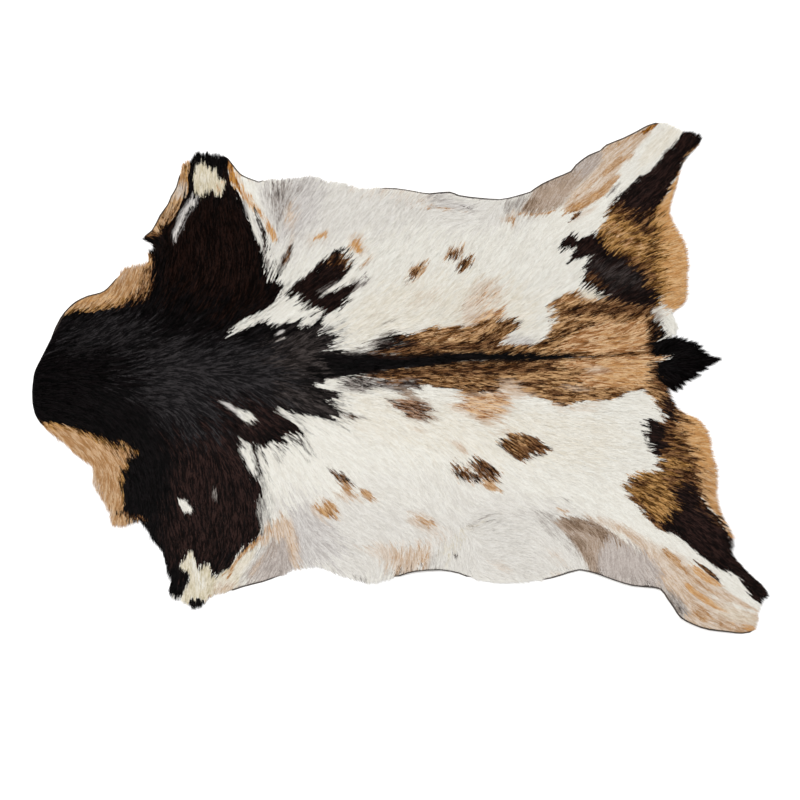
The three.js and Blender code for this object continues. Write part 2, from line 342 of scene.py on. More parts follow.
def on_chart(places):
    """Places in the photo's pixels as places in chart squares."""
    column, row = np.array(places, float).T
    middle_column, middle_row = CHART_ORIGIN_PIXEL
    return np.stack([column - middle_column, middle_row - row], axis=-1) / PIXELS_PER_SQUARE


def near_paths(paths):
    """One close to the paths, falling to zero at twice EDGE_NEAR from them."""
    gap = np.min([gap_to_path(*GRID, on_chart(path)) for path in paths], axis=0)
    return Field(np.clip(2 - gap / EDGE_NEAR, 0, 1), GRID_STEP)


BARE = near_paths(BARE_EDGES)
FRINGE = near_paths(FRINGES)
print(len(BARE_EDGES), "stretches of bare edge and", len(FRINGES), "of fringe")

# %% [markdown]
# ## The leather
#
# Tanned calfskin is 1.5 to 2 mm thick, with suede on its underside. Hair that points out over the edge
# hides the cut, so the leather itself ends a little inside the outline there, and right at it where the
# hair points along the edge or inwards, as at the neck. It is made as one closed sheet: the inset outline
# is filled with triangles, laid on the solid's underside, and given its thickness and its cut edge. Cloth
# simulation isn't used, because the solid already holds the way in which this skin lies.

# %% The leather sheet
LEATHER_THICKNESS = 1.6 * MM
CUT_INSET = 0.12
HAIR_OVERHANG = 0.6
BARE_EASE = 0.85  # the share of its inset that a bare edge takes back
TAIL_MIDDLE = (30.3, 1.7)
TAIL_REACH = 4.6
TAIL_FALL = 4  # how steeply the tail's overhang ends
TAIL_OVERHANG = 2.6
PROBE = 0.05  # a short step that shows which side is out
KEPT_SHARE = 0.85  # a place that ends up nearer the outline than this share of its inset is dropped
LEATHER_STEP = 0.9
LEATHER_SPANS = ((-37, 38), (-26, 27))
RIM_CLEAR = 0.5  # in steps
INSIDE_ONLY = 1  # only the triangles inside the rim are kept
JOINED_BELOW = 1e-5  # places that are closer than this are joined
FACES_UP = 0.5


def inset_outline():
    """The outline drawn in by what the hair overhangs, in squares."""
    before, after = np.roll(OUTLINE, 1, axis=0), np.roll(OUTLINE, -1, axis=0)
    side = unit(after - before)
    outward = np.stack([side[:, 1], -side[:, 0]], axis=-1)
    if depth_inside(*(OUTLINE[:1] + outward[:1] * PROBE).T, OUTLINE)[0] > 0:
        outward = -outward
    flow = FLOW.at(*OUTLINE.T)
    leaning_out = np.clip((flow * outward).sum(axis=-1), 0, 1)
    tail_gap = np.linalg.norm(OUTLINE - TAIL_MIDDLE, axis=-1)
    near_tail = np.exp(-((tail_gap / TAIL_REACH) ** TAIL_FALL))
    inset = CUT_INSET + HAIR_OVERHANG * leaning_out + TAIL_OVERHANG * near_tail
    inset = inset * (1 - BARE_EASE * BARE.at(*OUTLINE.T))
    drawn_in = OUTLINE - outward * inset[:, None]
    kept = depth_inside(*drawn_in.T, OUTLINE) > KEPT_SHARE * inset
    return drawn_in[kept]


def leather_sheet(name):
    """A closed sheet of leather on the solid's underside."""
    rim = inset_outline()
    along, across = np.meshgrid(*(np.arange(*span, LEATHER_STEP) for span in LEATHER_SPANS))
    along = along + LEATHER_STEP / 2 * (np.arange(along.shape[0]) % 2)[:, None]
    inner = np.stack([along.ravel(), across.ravel()], axis=-1)
    inner = inner[depth_inside(*inner.T, rim) > LEATHER_STEP * RIM_CLEAR]
    places = [Vector(place) for place in np.vstack([rim, inner])]
    edges = [(i, (i + 1) % len(rim)) for i in range(len(rim))]
    flat, _, faces = delaunay_2d_cdt(places, edges, [], INSIDE_ONLY, JOINED_BELOW)[:3]
    sheet = bmesh.new()
    base = LEATHER_BASE.at(*np.array(flat).T)
    verts = [sheet.verts.new((*to_metres(*place), height)) for place, height in zip(flat, base)]
    for face in faces:
        sheet.faces.new([verts[i] for i in face])
    sheet.normal_update()
    if sum(face.normal.z for face in sheet.faces) > 0:
        bmesh.ops.reverse_faces(sheet, faces=sheet.faces[:])
    area = sum(face.calc_area() for face in sheet.faces)
    grown = bmesh.ops.extrude_face_region(sheet, geom=sheet.faces[:])
    top = [item for item in grown["geom"] if isinstance(item, bmesh.types.BMVert)]
    bmesh.ops.translate(sheet, verts=top, vec=(0, 0, LEATHER_THICKNESS))
    bmesh.ops.recalc_face_normals(sheet, faces=sheet.faces[:])
    for face in sheet.faces:
        face.material_index = 0 if face.normal.z > FACES_UP else 1
        face.smooth = abs(face.normal.z) > FACES_UP
    mesh = bpy.data.meshes.new(name)
    sheet.to_mesh(mesh)
    sheet.free()
    return in_scene(name, mesh), area


leather, leather_area = leather_sheet("leather")
print("leather", len(leather.data.polygons), "faces,", round(leather_area, 4), "square metres")

# %% [markdown]
# ## The colours of the coat
#
# No coat is one colour. Each kind below is a run of three dyes, from its darkest hairs to its lightest, and
# each hair takes its own place in the run. Dyes are written as the colour seen in daylight and turned into
# the linear values that a shader works in. They were chosen and adjusted until the render's tones
# came near the tones measured at about 45 places of the photo.

# %% Kinds of coat
KINDS = {
    # kind: darkest, middle and lightest dye, and how softly it gives way to its neighbour
    "white": ("DFDBD1", "E5E2D9", "EAE8E0", 1.0),
    "cream": ("D8CEBA", "E1D9C8", "E7E0D2", 2.0),
    "ivory": ("C2B79A", "D6CCB4", "E1D9C7", 0.8),
    "cool": ("D2CEC7", "DAD6CF", "E1DED8", 2.4),
    "mist": ("B5AFAB", "C6C1BD", "D5D1CD", 1.8),
    "lilac": ("A79D96", "B8ADA6", "C9C0B9", 2.0),
    "grey": ("8E857E", "A69E97", "BEB8B2", 1.4),
    "slate": ("4A433F", "7C736D", "ABA39D", 1.2),
    "taupe": ("9C8875", "AE9A88", "BDADA0", 2.2),
    "umber": ("6E5947", "8F7864", "A89583", 1.6),
    # This kind is black hair with its sheen painted in, lighter and bluish grey.
    "sheen_black": ("0E0D0E", "1E1C1D", "373435", 1.6),
    "smoke": ("171413", "2E2826", "4B4442", 1.6),
    "dusk": ("040100", "0C0402", "20110C", 1.6),
    "seal": ("070302", "160C0A", "35231F", 1.6),
    "black": ("000000", "040202", "0F0B0C", 0.25),
    "sable": ("070302", "120907", "291915", 0.3),
    "bark": ("120702", "43250E", "87603F", 0.4),
    "brown": ("301906", "7E542D", "CBA273", 0.45),
    "russet": ("2B150B", "765038", "BA977C", 1.0),
    "golden": ("371F07", "8E6431", "C6995F", 0.5),
    "honey": ("8A582D", "C09062", "E4C49C", 0.6),
    "tan": ("A07549", "B68D63", "CCAC88", 0.8),
    "fawn": ("BFA48A", "CDB8A2", "DACBBC", 2.0),
    "ochre": ("BC8851", "C99A64", "D5AF80", 0.7),
    "rust": ("6E3C0D", "9C6424", "C18E4E", 0.5),
}


def linear(dye):
    """A dye's six digits as linear red, green and blue."""
    shown = np.array([int(dye[i:i + 2], 16) for i in (0, 2, 4)]) / 255
    return np.where(shown <= 0.04045, shown / 12.92, ((shown + 0.055) / 1.055) ** 2.4)


DYES = {name: [linear(dye) for dye in row[:3]] for name, row in KINDS.items()}
print(len(KINDS), "kinds of coat")

# %% [markdown]
# ## The markings
#
# Each marking is a loop in the photo's pixels, placed round a patch of one kind of coat, and they
# are laid down in order like patches of dye. `wisp` is how many pixels its border strays along the hair:
# small for a crisp edge, large where tan fades into white. `cover` is the share of its hairs that take the
# colour, so that a light dusting is a patch with a low cover.

# %% Shapes for the markings
OVAL_PLACES = 12


def oval(column, row, long, wide, tilt=0):
    """A loop round an oval spot, whose long way rises to the right by tilt degrees."""
    turn = math.radians(tilt)
    loop = []
    for step in range(OVAL_PLACES):
        angle = step * math.tau / OVAL_PLACES
        out, side = long / 2 * math.cos(angle), wide / 2 * math.sin(angle)
        loop.append((column + out * math.cos(turn) - side * math.sin(turn),
                     row - out * math.sin(turn) - side * math.cos(turn)))
    return loop


def band(*rows):
    """A loop round a stripe, from rows of column, row and width."""
    middle = np.array(rows, float)[:, :2]
    half = np.array(rows, float)[:, 2:] / 2
    way = unit(np.gradient(middle, axis=0))
    side = np.stack([-way[:, 1], way[:, 0]], axis=-1) * half
    return [tuple(place) for place in np.vstack([middle + side, (middle - side)[::-1]])]


# %% Broad zones of the pale coat
ZONES = [
    # kind, wisp, cover, loop
    ("cool", 16, 0.8, [(240, 185), (300, 165), (350, 175), (400, 185), (470, 190), (535, 185), (560, 200),
        (530, 225), (480, 232), (420, 232), (350, 238), (300, 262), (268, 255)]),
    ("mist", 18, 0.75, [(258, 182), (300, 170), (328, 176), (326, 210), (310, 232), (288, 244),
        (270, 226)]),
    ("cool", 16, 0.8, [(245, 575), (262, 520), (300, 488), (350, 498), (420, 505), (480, 495), (560, 500),
        (610, 520), (600, 585), (540, 590), (400, 590), (300, 580)]),
    ("cool", 16, 0.5, [(350, 470), (420, 470), (520, 480), (520, 500), (420, 505), (350, 498)]),
    ("mist", 16, 0.8, [(294, 498), (322, 512), (342, 528), (348, 548), (333, 565), (300, 578), (278, 575),
        (285, 520)]),
    ("lilac", 8, 0.9, [(240, 582), (252, 562), (266, 548), (284, 534), (298, 530), (302, 568), (296, 580),
        (262, 590)]),
    ("cream", 20, 0.5, [(340, 318), (370, 285), (430, 275), (500, 280), (545, 300), (545, 330), (500, 335),
        (400, 335), (345, 350)]),
    ("cream", 20, 0.4, [(345, 395), (380, 385), (440, 400), (520, 405), (620, 415), (640, 440), (600, 470),
        (500, 470), (400, 450), (340, 430)]),
    ("fawn", 8, 0.35, [(355, 180), (400, 182), (440, 196), (430, 206), (380, 196), (350, 192)]),
]

# %% Tan and ochre that run in under the dark coat
UNDERLAY = [
    ("tan", 4, 1.0, [(50, 320), (90, 325), (150, 305), (165, 290), (160, 240), (140, 235), (100, 250),
        (50, 300)]),
    ("fawn", 5, 0.5, band((118, 282, 6), (130, 268, 6), (143, 256, 5))),
    ("ochre", 5, 0.5, band((80, 300, 5), (100, 298, 5), (122, 294, 4))),
    ("tan", 4, 1.0, [(35, 415), (80, 415), (140, 440), (145, 455), (135, 480), (135, 510), (150, 512),
        (155, 530), (120, 540), (90, 525), (70, 475), (35, 445)]),
    ("fawn", 5, 0.6, band((88, 466, 6), (94, 485, 9), (104, 508, 9), (112, 522, 7))),
    ("tan", 3, 1.0, [(196, 155), (194, 182), (192, 194), (185, 212), (170, 228), (155, 236), (135, 236),
        (150, 190), (178, 150)]),
    ("fawn", 3, 0.85, [(176, 184), (188, 184), (186, 197), (173, 199)]),
    ("lilac", 3, 0.4, oval(181, 189, 8, 6, 60)),
    ("ochre", 3, 0.7, band((172, 203, 4), (181, 200, 4), (187, 196, 3))),
]

# %% The dark neck, shoulders and withers
SHOULDERS = [
    ("black", 6, 1.0, [(10, 302), (68, 310), (80, 308), (100, 309), (115, 307), (125, 303), (131, 297),
        (140, 296), (149, 293), (150, 275), (150, 262), (147, 250), (150, 246), (143, 243), (137, 239),
        (142, 235), (150, 233), (157, 230), (165, 226), (171, 217), (177, 212), (181, 205), (183, 198),
        (188, 191), (189, 182), (187, 173), (190, 166), (188, 148), (232, 148), (229, 162), (228, 170),
        (230, 178), (231, 184), (235, 190), (240, 196), (244, 200), (246, 208), (249, 216), (251, 224),
        (253, 232), (256, 239), (260, 246), (264, 253), (265, 262), (266, 270), (269, 279), (273, 276),
        (278, 276), (281, 282), (283, 288), (281, 295), (277, 301), (270, 306), (263, 311), (255, 315),
        (246, 318), (239, 321), (234, 327), (231, 336), (240, 331), (250, 327), (258, 322), (265, 319),
        (268, 324), (274, 327), (281, 326), (287, 321), (300, 320), (305, 325), (313, 325), (317, 320),
        (322, 316), (330, 312), (326, 319), (323, 326), (321, 332), (329, 334), (336, 337), (333, 342),
        (331, 347), (326, 350), (345, 350), (345, 378), (330, 379), (320, 382), (317, 388), (328, 390),
        (341, 392), (336, 396), (334, 400), (330, 403), (338, 408), (345, 413), (338, 417), (330, 420),
        (318, 419), (305, 416), (290, 412), (278, 408), (280, 416), (290, 420), (299, 427), (304, 435),
        (296, 437), (290, 437), (287, 445), (278, 445), (268, 448), (258, 449), (250, 446), (243, 443),
        (247, 450), (254, 462), (259, 472), (261, 484), (262, 493), (259, 502), (256, 511), (257, 520),
        (262, 530), (259, 537), (253, 542), (246, 548), (241, 554), (236, 560), (230, 567), (222, 573),
        (215, 580), (211, 576), (209, 567), (204, 566), (199, 570), (195, 562), (193, 554), (189, 552),
        (185, 559), (179, 568), (182, 571), (188, 573), (191, 580), (188, 586), (184, 592), (181, 603),
        (165, 600), (150, 560), (140, 525), (118, 516), (125, 508), (123, 500), (120, 490), (119, 480),
        (124, 470), (128, 460), (133, 452), (122, 448), (110, 445), (98, 441), (88, 434), (75, 428),
        (62, 426), (42, 425), (10, 425)]),
    ("dusk", 24, 0.85, [(160, 225), (195, 190), (228, 180), (255, 235), (265, 265), (285, 290), (255, 318),
        (225, 312), (200, 300), (165, 290)]),
    ("seal", 24, 0.2, [(190, 240), (225, 220), (248, 245), (258, 275), (262, 300), (215, 296), (192, 270)]),
    ("seal", 24, 0.85, [(175, 445), (225, 425), (262, 470), (268, 530), (240, 562), (205, 580), (172, 565),
        (160, 530), (172, 490)]),
    # The two patches below are black hair with a painted sheen, lighter and bluish grey, on the neck and its
    # middle.
    ("sheen_black", 24, 0.6, [(62, 316), (110, 313), (150, 322), (160, 345), (120, 352), (66, 350)]),
    ("sheen_black", 30, 0.85, [(140, 345), (190, 338), (240, 348), (286, 346), (300, 385), (284, 404), (235, 402),
        (215, 425), (180, 430), (150, 410), (135, 385)]),
    ("smoke", 24, 0.75, [(286, 328), (318, 328), (330, 340), (322, 372), (300, 380), (278, 368),
        (274, 346)]),
    ("smoke", 20, 0.7, [(288, 383), (318, 384), (338, 400), (336, 420), (300, 414), (282, 400)]),
    ("seal", 20, 0.75, [(222, 402), (262, 402), (298, 422), (304, 442), (258, 450), (230, 434)]),
]

# %% Darker streaks along the tan of the neck and chest
NECK = [
    ("golden", 4, 0.6, band((66, 311, 3), (90, 308, 4), (115, 304, 5), (128, 299, 6), (148, 290, 8))),
    ("bark", 12, 0.6, [(142, 262), (153, 262), (154, 294), (140, 300), (122, 306), (130, 294), (141, 284)]),
    ("tan", 3, 0.9, band((145, 245, 5), (147, 256, 6), (149, 268, 7))),
    ("golden", 5, 0.6, band((44, 425, 4), (75, 430, 6), (95, 440, 7), (115, 447, 8), (138, 450, 5))),
    ("bark", 8, 0.3, [(98, 439), (137, 446), (130, 466), (110, 455)]),
    ("golden", 5, 0.5, band((129, 463, 6), (121, 485, 6), (123, 505, 6))),
    ("bark", 2, 0.85, band((116, 515, 2), (128, 516, 2.5), (140, 519, 2.5), (148, 521, 2))),
]

# %% Left fore shank
LEFT_FORE = [
    ("golden", 2, 0.8, band((186, 166, 3), (186, 175, 3), (188, 184, 2))),
    ("bark", 6, 0.6, [(150, 236), (158, 225), (167, 216), (176, 208), (182, 204), (178, 214), (170, 222),
        (160, 231)]),
    ("bark", 3, 0.8, band((139, 239, 1.5), (150, 236, 3), (160, 233, 3))),
    ("golden", 5, 0.55, band((147, 245, 2), (148, 256, 4), (150, 266, 3))),
    ("ivory", 4, 1.0, [(196, 161), (200, 162), (203, 160), (206, 166), (210, 169), (216, 168), (218, 174),
        (222, 180), (227, 183), (224, 190), (220, 193), (213, 193), (206, 192), (202, 197), (198, 192),
        (194, 186), (193, 178), (196, 170)]),
    ("white", 4, 0.35, [(198, 175), (208, 174), (210, 188), (200, 190)]),
    ("honey", 3, 0.4, [(216, 182), (226, 181), (224, 190), (218, 192)]),
    ("mist", 4, 0.9, [(199, 194), (196, 202), (191, 211), (187, 216), (185, 223), (181, 230), (177, 238),
        (173, 240), (172, 234), (176, 226), (179, 218), (182, 211), (186, 205), (191, 197)]),
    ("white", 3, 0.5, band((196, 197, 2), (190, 207, 3), (184, 217, 3), (180, 227, 3), (175, 237, 2))),
    ("sable", 4, 0.6, band((195, 203, 2), (187, 213, 3), (182, 224, 3), (177, 235, 2))),
    ("white", 10, 0.9, [(229, 158), (240, 170), (252, 178), (258, 192), (264, 214), (272, 236), (276, 240),
        (267, 224), (256, 212), (248, 203), (240, 193), (232, 184)]),
    ("grey", 20, 0.75, [(264, 184), (276, 179), (288, 183), (292, 198), (288, 214), (280, 222), (273, 214),
        (266, 200)]),
    ("slate", 12, 0.55, oval(277, 189, 24, 12, 10)),
    ("slate", 12, 0.6, oval(281, 209, 20, 13, -40)),
    ("ochre", 5, 0.6, [(230, 160), (240, 174), (246, 190), (256, 202), (270, 222), (276, 238), (266, 222),
        (252, 209), (240, 196), (230, 184)]),
    ("rust", 5, 0.9, band((229, 156, 3), (231, 168, 6), (233, 177, 7), (237, 186, 5), (242, 192, 2))),
    ("ochre", 3, 0.95, band((266, 223, 3), (270, 229, 6), (274, 236, 5), (276, 242, 2))),
    ("fawn", 3, 0.8, band((240, 172, 2), (250, 179, 3), (258, 181, 2))),
    ("mist", 3, 0.75, band((243, 201, 1), (245, 208, 3), (247, 215, 2))),
    ("white", 5, 0.6, band((249, 208, 1), (251, 218, 3), (254, 228, 3.5), (257, 238, 2.5), (259, 243, 1))),
    ("sable", 6, 0.75, band((254, 207, 2), (258, 219, 4.5), (263, 232, 6), (266, 243, 4), (266, 254, 2))),
    ("mist", 3, 0.6, band((257, 222, 1), (260, 232, 2), (262, 242, 1.5))),
    ("grey", 3, 0.5, band((264, 218, 1.5), (268, 228, 2), (270, 238, 1.5))),
    ("slate", 3, 0.7, band((264, 246, 1), (266, 256, 2.5), (268, 266, 1.5))),
    ("fawn", 8, 0.7, oval(291, 214, 14, 22, 0)),
    ("fawn", 4, 0.6, band((294, 226, 2), (293, 238, 4), (290, 248, 3))),
    ("slate", 6, 0.9, band((291, 245, 3), (288, 254, 9), (285, 261, 8), (280, 271, 3))),
    ("bark", 5, 0.7, band((290, 248, 2), (288, 254, 5), (285, 261, 4), (282, 268, 2))),
]

# %% The black spot and the marks of the left flank
LEFT_FLANK = [
    ("sable", 9, 1.0, [(291, 298), (290, 290), (297, 281), (304, 276), (312, 271), (318, 263), (325, 258),
        (332, 255), (340, 252), (348, 254), (350, 262), (350, 270), (345, 278), (338, 284), (330, 289),
        (345, 287), (353, 283), (360, 279), (370, 281), (366, 285), (358, 289), (352, 293), (345, 299),
        (350, 302), (340, 308), (330, 312), (322, 317), (316, 312), (310, 308), (305, 303), (299, 299)]),
    ("bark", 5, 0.5, [(320, 262), (336, 254), (350, 255), (351, 272), (342, 268), (330, 266)]),
    ("white", 5, 0.9, band((321, 296, 1), (330, 290, 3), (338, 285, 3), (346, 279, 2), (351, 271, 1.5))),
    ("grey", 5, 0.6, band((320, 290, 1.5), (328, 286, 2.5), (336, 283, 1.5))),
    ("grey", 6, 0.55, [(352, 277), (362, 276), (372, 280), (366, 288), (356, 290)]),
    ("white", 6, 0.7, band((300, 303, 2), (306, 306, 3), (313, 311, 3), (318, 316, 2))),
    ("fawn", 8, 0.5, oval(316, 239, 26, 9, 15)),
    ("ochre", 3, 0.85, oval(322, 236, 14, 6, 8)),
    ("fawn", 6, 0.7, [(345, 243), (352, 234), (362, 238), (368, 250), (362, 257), (352, 252)]),
    ("ochre", 3, 0.9, [(350, 244), (356, 240), (362, 246), (363, 252), (357, 253)]),
    ("tan", 5, 0.6, [(362, 264), (368, 257), (376, 255), (371, 261), (365, 267)]),
    ("grey", 5, 0.4, [(360, 268), (368, 260), (374, 260), (366, 268)]),
    ("tan", 6, 0.75, oval(417, 271, 24, 14, 38)),
    ("bark", 5, 0.85, oval(415, 273, 16, 9, 42)),
    ("brown", 4, 0.6, oval(421, 267, 10, 6, 50)),
    ("grey", 5, 0.35, oval(408, 281, 12, 5, 45)),
    ("tan", 6, 0.75, oval(455, 253, 20, 14, 35)),
    ("bark", 5, 0.85, oval(455, 254, 15, 11, 42)),
    ("brown", 6, 0.9, oval(466, 263, 18, 13, 25)),
    ("bark", 5, 0.65, oval(467, 263, 13, 9, 25)),
    ("grey", 6, 0.35, oval(457, 267, 14, 8, 40)),
    ("slate", 5, 0.6, band((383, 324, 1.5), (390, 321, 2.5), (398, 319, 1.5))),
    ("fawn", 6, 0.6, oval(510, 218, 14, 18, 60)),
    ("tan", 3, 0.7, oval(511, 220, 7, 9, 60)),
    ("grey", 5, 0.3, oval(508, 214, 12, 6, 60)),
    ("fawn", 10, 0.6, [(468, 292), (480, 280), (505, 285), (502, 300), (480, 305), (465, 312)]),
    ("honey", 8, 0.35, [(466, 302), (476, 290), (490, 286), (500, 296), (490, 308), (470, 310)]),
    ("fawn", 12, 0.4, [(410, 292), (440, 292), (442, 304), (412, 308)]),
    # The mist, grey and slate streaks here and below are painted shade of the whorl and ridge along the
    # flank's upper edge; the tan band among them is the hair's colour.
    ("mist", 6, 0.6, [(420, 190), (446, 190), (452, 200), (470, 203), (480, 210), (455, 212), (430, 204)]),
    ("tan", 5, 0.55, band((412, 203, 1), (425, 205, 2.5), (440, 208, 3), (452, 210, 2), (465, 212, 1))),
    ("grey", 4, 0.8, band((428, 195, 1.5), (434, 198, 3), (441, 203, 2))),
    ("slate", 3, 0.6, band((446, 202, 1), (458, 204, 1.5), (466, 208, 2), (476, 211, 1.5))),
    ("grey", 4, 0.5, band((460, 209, 1), (470, 212, 2), (482, 212, 1))),
    ("grey", 6, 0.6, [(498, 200), (512, 196), (530, 193), (526, 204), (516, 212), (502, 206)]),
]

# %% Small spots of the right flank
RIGHT_FLANK = [
    ("mist", 3, 0.95, band((223, 403, 1), (230, 406, 5), (236, 411, 4), (242, 417, 2))),
    ("white", 4, 0.8, [(239, 411), (250, 411), (258, 418), (253, 425), (246, 422), (240, 418)]),
    ("slate", 3, 0.4, band((240, 411, 1), (247, 417, 2), (252, 423, 1))),
    ("white", 2, 0.95, [(178, 499), (184, 500), (190, 505), (194, 511), (190, 514), (185, 512),
        (180, 507)]),
    ("grey", 3, 0.45, oval(215, 495, 13, 5, -80)),
    ("mist", 2, 0.95, band((276, 335, 1.5), (281, 332, 4), (285, 330, 2))),
    ("grey", 2, 0.8, band((278, 341, 1), (282, 338, 3), (285, 339, 1))),
    ("white", 6, 0.95, [(243, 442), (248, 448), (252, 458), (257, 470), (259, 480), (252, 474), (246, 464),
        (243, 453)]),
    ("sable", 6, 0.85, band((255, 447, 2), (257, 456, 4), (259, 465, 4), (261, 476, 2))),
    ("sable", 6, 0.7, band((262, 449, 1.5), (266, 458, 2.5), (270, 467, 1.5))),
    ("slate", 5, 0.6, band((272, 448, 1), (276, 456, 1.5), (279, 464, 1))),
    ("grey", 5, 0.5, [(326, 469), (338, 472), (350, 480), (356, 488), (345, 484), (334, 477)]),
    ("bark", 5, 0.8, [(332, 474), (342, 472), (351, 479), (353, 485), (345, 485), (337, 480)]),
    ("umber", 5, 0.6, [(338, 482), (350, 482), (354, 490), (344, 490)]),
    ("tan", 6, 0.8, [(340, 484), (352, 484), (357, 493), (350, 498), (343, 492)]),
    ("slate", 2, 0.6, band((348, 478, 1.5), (355, 484, 1.5), (362, 491, 1))),
    ("tan", 5, 0.9, [(360, 487), (367, 489), (374, 497), (377, 503), (368, 501), (362, 494)]),
    ("fawn", 6, 0.8, [(332, 494), (345, 492), (362, 500), (345, 502)]),
    ("fawn", 6, 0.6, oval(326, 511, 30, 24, -20)),
    ("tan", 6, 0.95, [(313, 507), (322, 503), (332, 501), (338, 510), (335, 520), (327, 520), (318, 513)]),
    ("golden", 5, 0.35, oval(326, 512, 16, 10, -50)),
    ("fawn", 6, 0.6, oval(424, 523, 30, 18, -20)),
    ("tan", 4, 0.7, [(410, 516), (421, 519), (432, 518), (435, 524), (430, 529), (421, 523)]),
    ("slate", 2, 0.8, oval(455, 556, 7, 4, -10)),
    ("fawn", 8, 0.55, [(362, 550), (380, 541), (400, 549), (425, 541), (446, 528), (452, 532), (432, 547),
        (420, 560), (400, 566), (380, 560)]),
    ("fawn", 9, 0.8, [(384, 558), (395, 551), (430, 546), (432, 560), (424, 572), (388, 574)]),
    ("ivory", 4, 0.5, band((436, 560, 2), (446, 548, 3.5), (460, 537, 3.5), (474, 526, 3), (490, 517, 2))),
    ("ivory", 4, 0.45, band((446, 570, 2), (450, 556, 3), (460, 545, 3), (470, 540, 1.5))),
    ("tan", 8, 0.3, oval(399, 564, 20, 12, 10)),
    ("tan", 8, 0.4, band((430, 546, 5), (426, 554, 8), (422, 562, 9), (419, 572, 7))),
    ("grey", 6, 0.35, [(426, 556), (440, 556), (442, 572), (424, 572)]),
    ("bark", 5, 0.45, band((384, 578, 3), (395, 574, 6), (408, 571, 4), (422, 570, 3))),
    ("slate", 4, 0.5, band((352, 575, 3), (360, 578, 4), (368, 582, 3))),
    ("grey", 4, 0.65, band((468, 532, 2), (478, 521, 4), (488, 515, 4), (500, 514, 2))),
    ("slate", 3, 0.5, band((484, 523, 1), (492, 520, 2), (502, 522, 1))),
    ("grey", 5, 0.45, band((505, 518, 1.5), (525, 513, 3), (545, 513, 5), (560, 518, 3))),
    ("fawn", 8, 0.45, [(546, 548), (560, 552), (566, 562), (552, 562)]),
    ("fawn", 6, 0.4, oval(500, 566, 24, 10, -20)),
    ("fawn", 6, 0.5, oval(565, 575, 22, 7, 10)),
    ("bark", 6, 1.0, [(497, 441), (508, 436), (522, 433), (534, 436), (542, 442), (551, 451), (540, 454),
        (530, 459), (519, 461), (510, 455), (503, 449)]),
    ("brown", 6, 0.6, [(497, 441), (508, 435), (526, 433), (532, 440), (526, 450), (514, 454), (504, 449)]),
    ("brown", 6, 0.55, [(452, 464), (472, 462), (482, 458), (500, 470), (502, 482), (486, 484),
        (456, 482)]),
    ("bark", 5, 0.9, [(470, 463), (481, 460), (493, 465), (501, 475), (498, 480), (487, 480), (478, 474)]),
    ("bark", 5, 0.8, [(453, 467), (461, 469), (474, 472), (488, 478), (474, 481), (462, 481), (455, 475)]),
    ("tan", 5, 0.9, [(478, 481), (490, 480), (498, 487), (502, 494), (492, 491), (484, 487)]),
    ("fawn", 4, 0.8, [(451, 441), (462, 444), (471, 455), (460, 452)]),
    ("fawn", 5, 0.6, band((494, 434, 2), (505, 431, 4), (516, 431, 2))),
]

# %% The belly and shank of the right foreleg
RIGHT_FORE = [
    ("ivory", 3, 1.0, [(181, 603), (184, 592), (188, 586), (191, 580), (188, 573), (182, 571), (179, 568),
        (185, 559), (189, 552), (193, 554), (195, 562), (199, 570), (204, 566), (209, 567), (211, 576),
        (215, 580), (222, 573), (230, 567), (238, 560), (240, 580), (225, 596), (207, 600), (204, 600),
        (200, 600), (192, 600), (188, 604), (186, 612), (180, 610)]),
    ("white", 4, 0.5, [(186, 560), (192, 560), (204, 572), (206, 590), (196, 592), (194, 575)]),
    ("black", 1.5, 1.0, [(187, 605), (192, 600), (198, 600), (204, 600), (206, 607), (200, 614),
        (188, 614)]),
    ("rust", 1.5, 1.0, band((203, 609, 2), (206, 603, 3), (210, 597, 2.5))),
    ("cream", 6, 0.9, [(216, 580), (232, 567), (245, 552), (258, 545), (252, 560), (238, 578), (240, 592),
        (214, 600)]),
    ("lilac", 8, 0.8, [(246, 584), (254, 566), (268, 550), (284, 536), (296, 533), (300, 552), (290, 578),
        (262, 590)]),
    ("tan", 3, 0.85, band((222, 576, 1.5), (232, 567, 2), (243, 554, 3), (254, 544, 4), (263, 537, 4))),
    ("rust", 2, 0.5, band((243, 553, 1.5), (252, 544, 2), (262, 536, 2))),
    ("fawn", 6, 0.9, [(258, 544), (262, 534), (272, 524), (284, 514), (292, 520), (298, 545), (300, 570),
        (292, 566), (286, 540), (272, 540)]),
    ("tan", 5, 0.45, band((264, 536, 3), (273, 529, 5), (282, 520, 3))),
    ("tan", 6, 0.3, band((288, 524, 4), (291, 540, 6), (294, 556, 5))),
    ("tan", 3, 0.8, band((228, 579, 2), (231, 571, 5), (235, 564, 2))),
    ("fawn", 5, 0.6, [(214, 584), (234, 584), (238, 592), (212, 598)]),
    ("fawn", 5, 0.6, band((250, 578, 5), (256, 567, 7), (263, 557, 4))),
    ("taupe", 6, 0.5, band((262, 562, 5), (272, 550, 8), (282, 540, 6))),
]

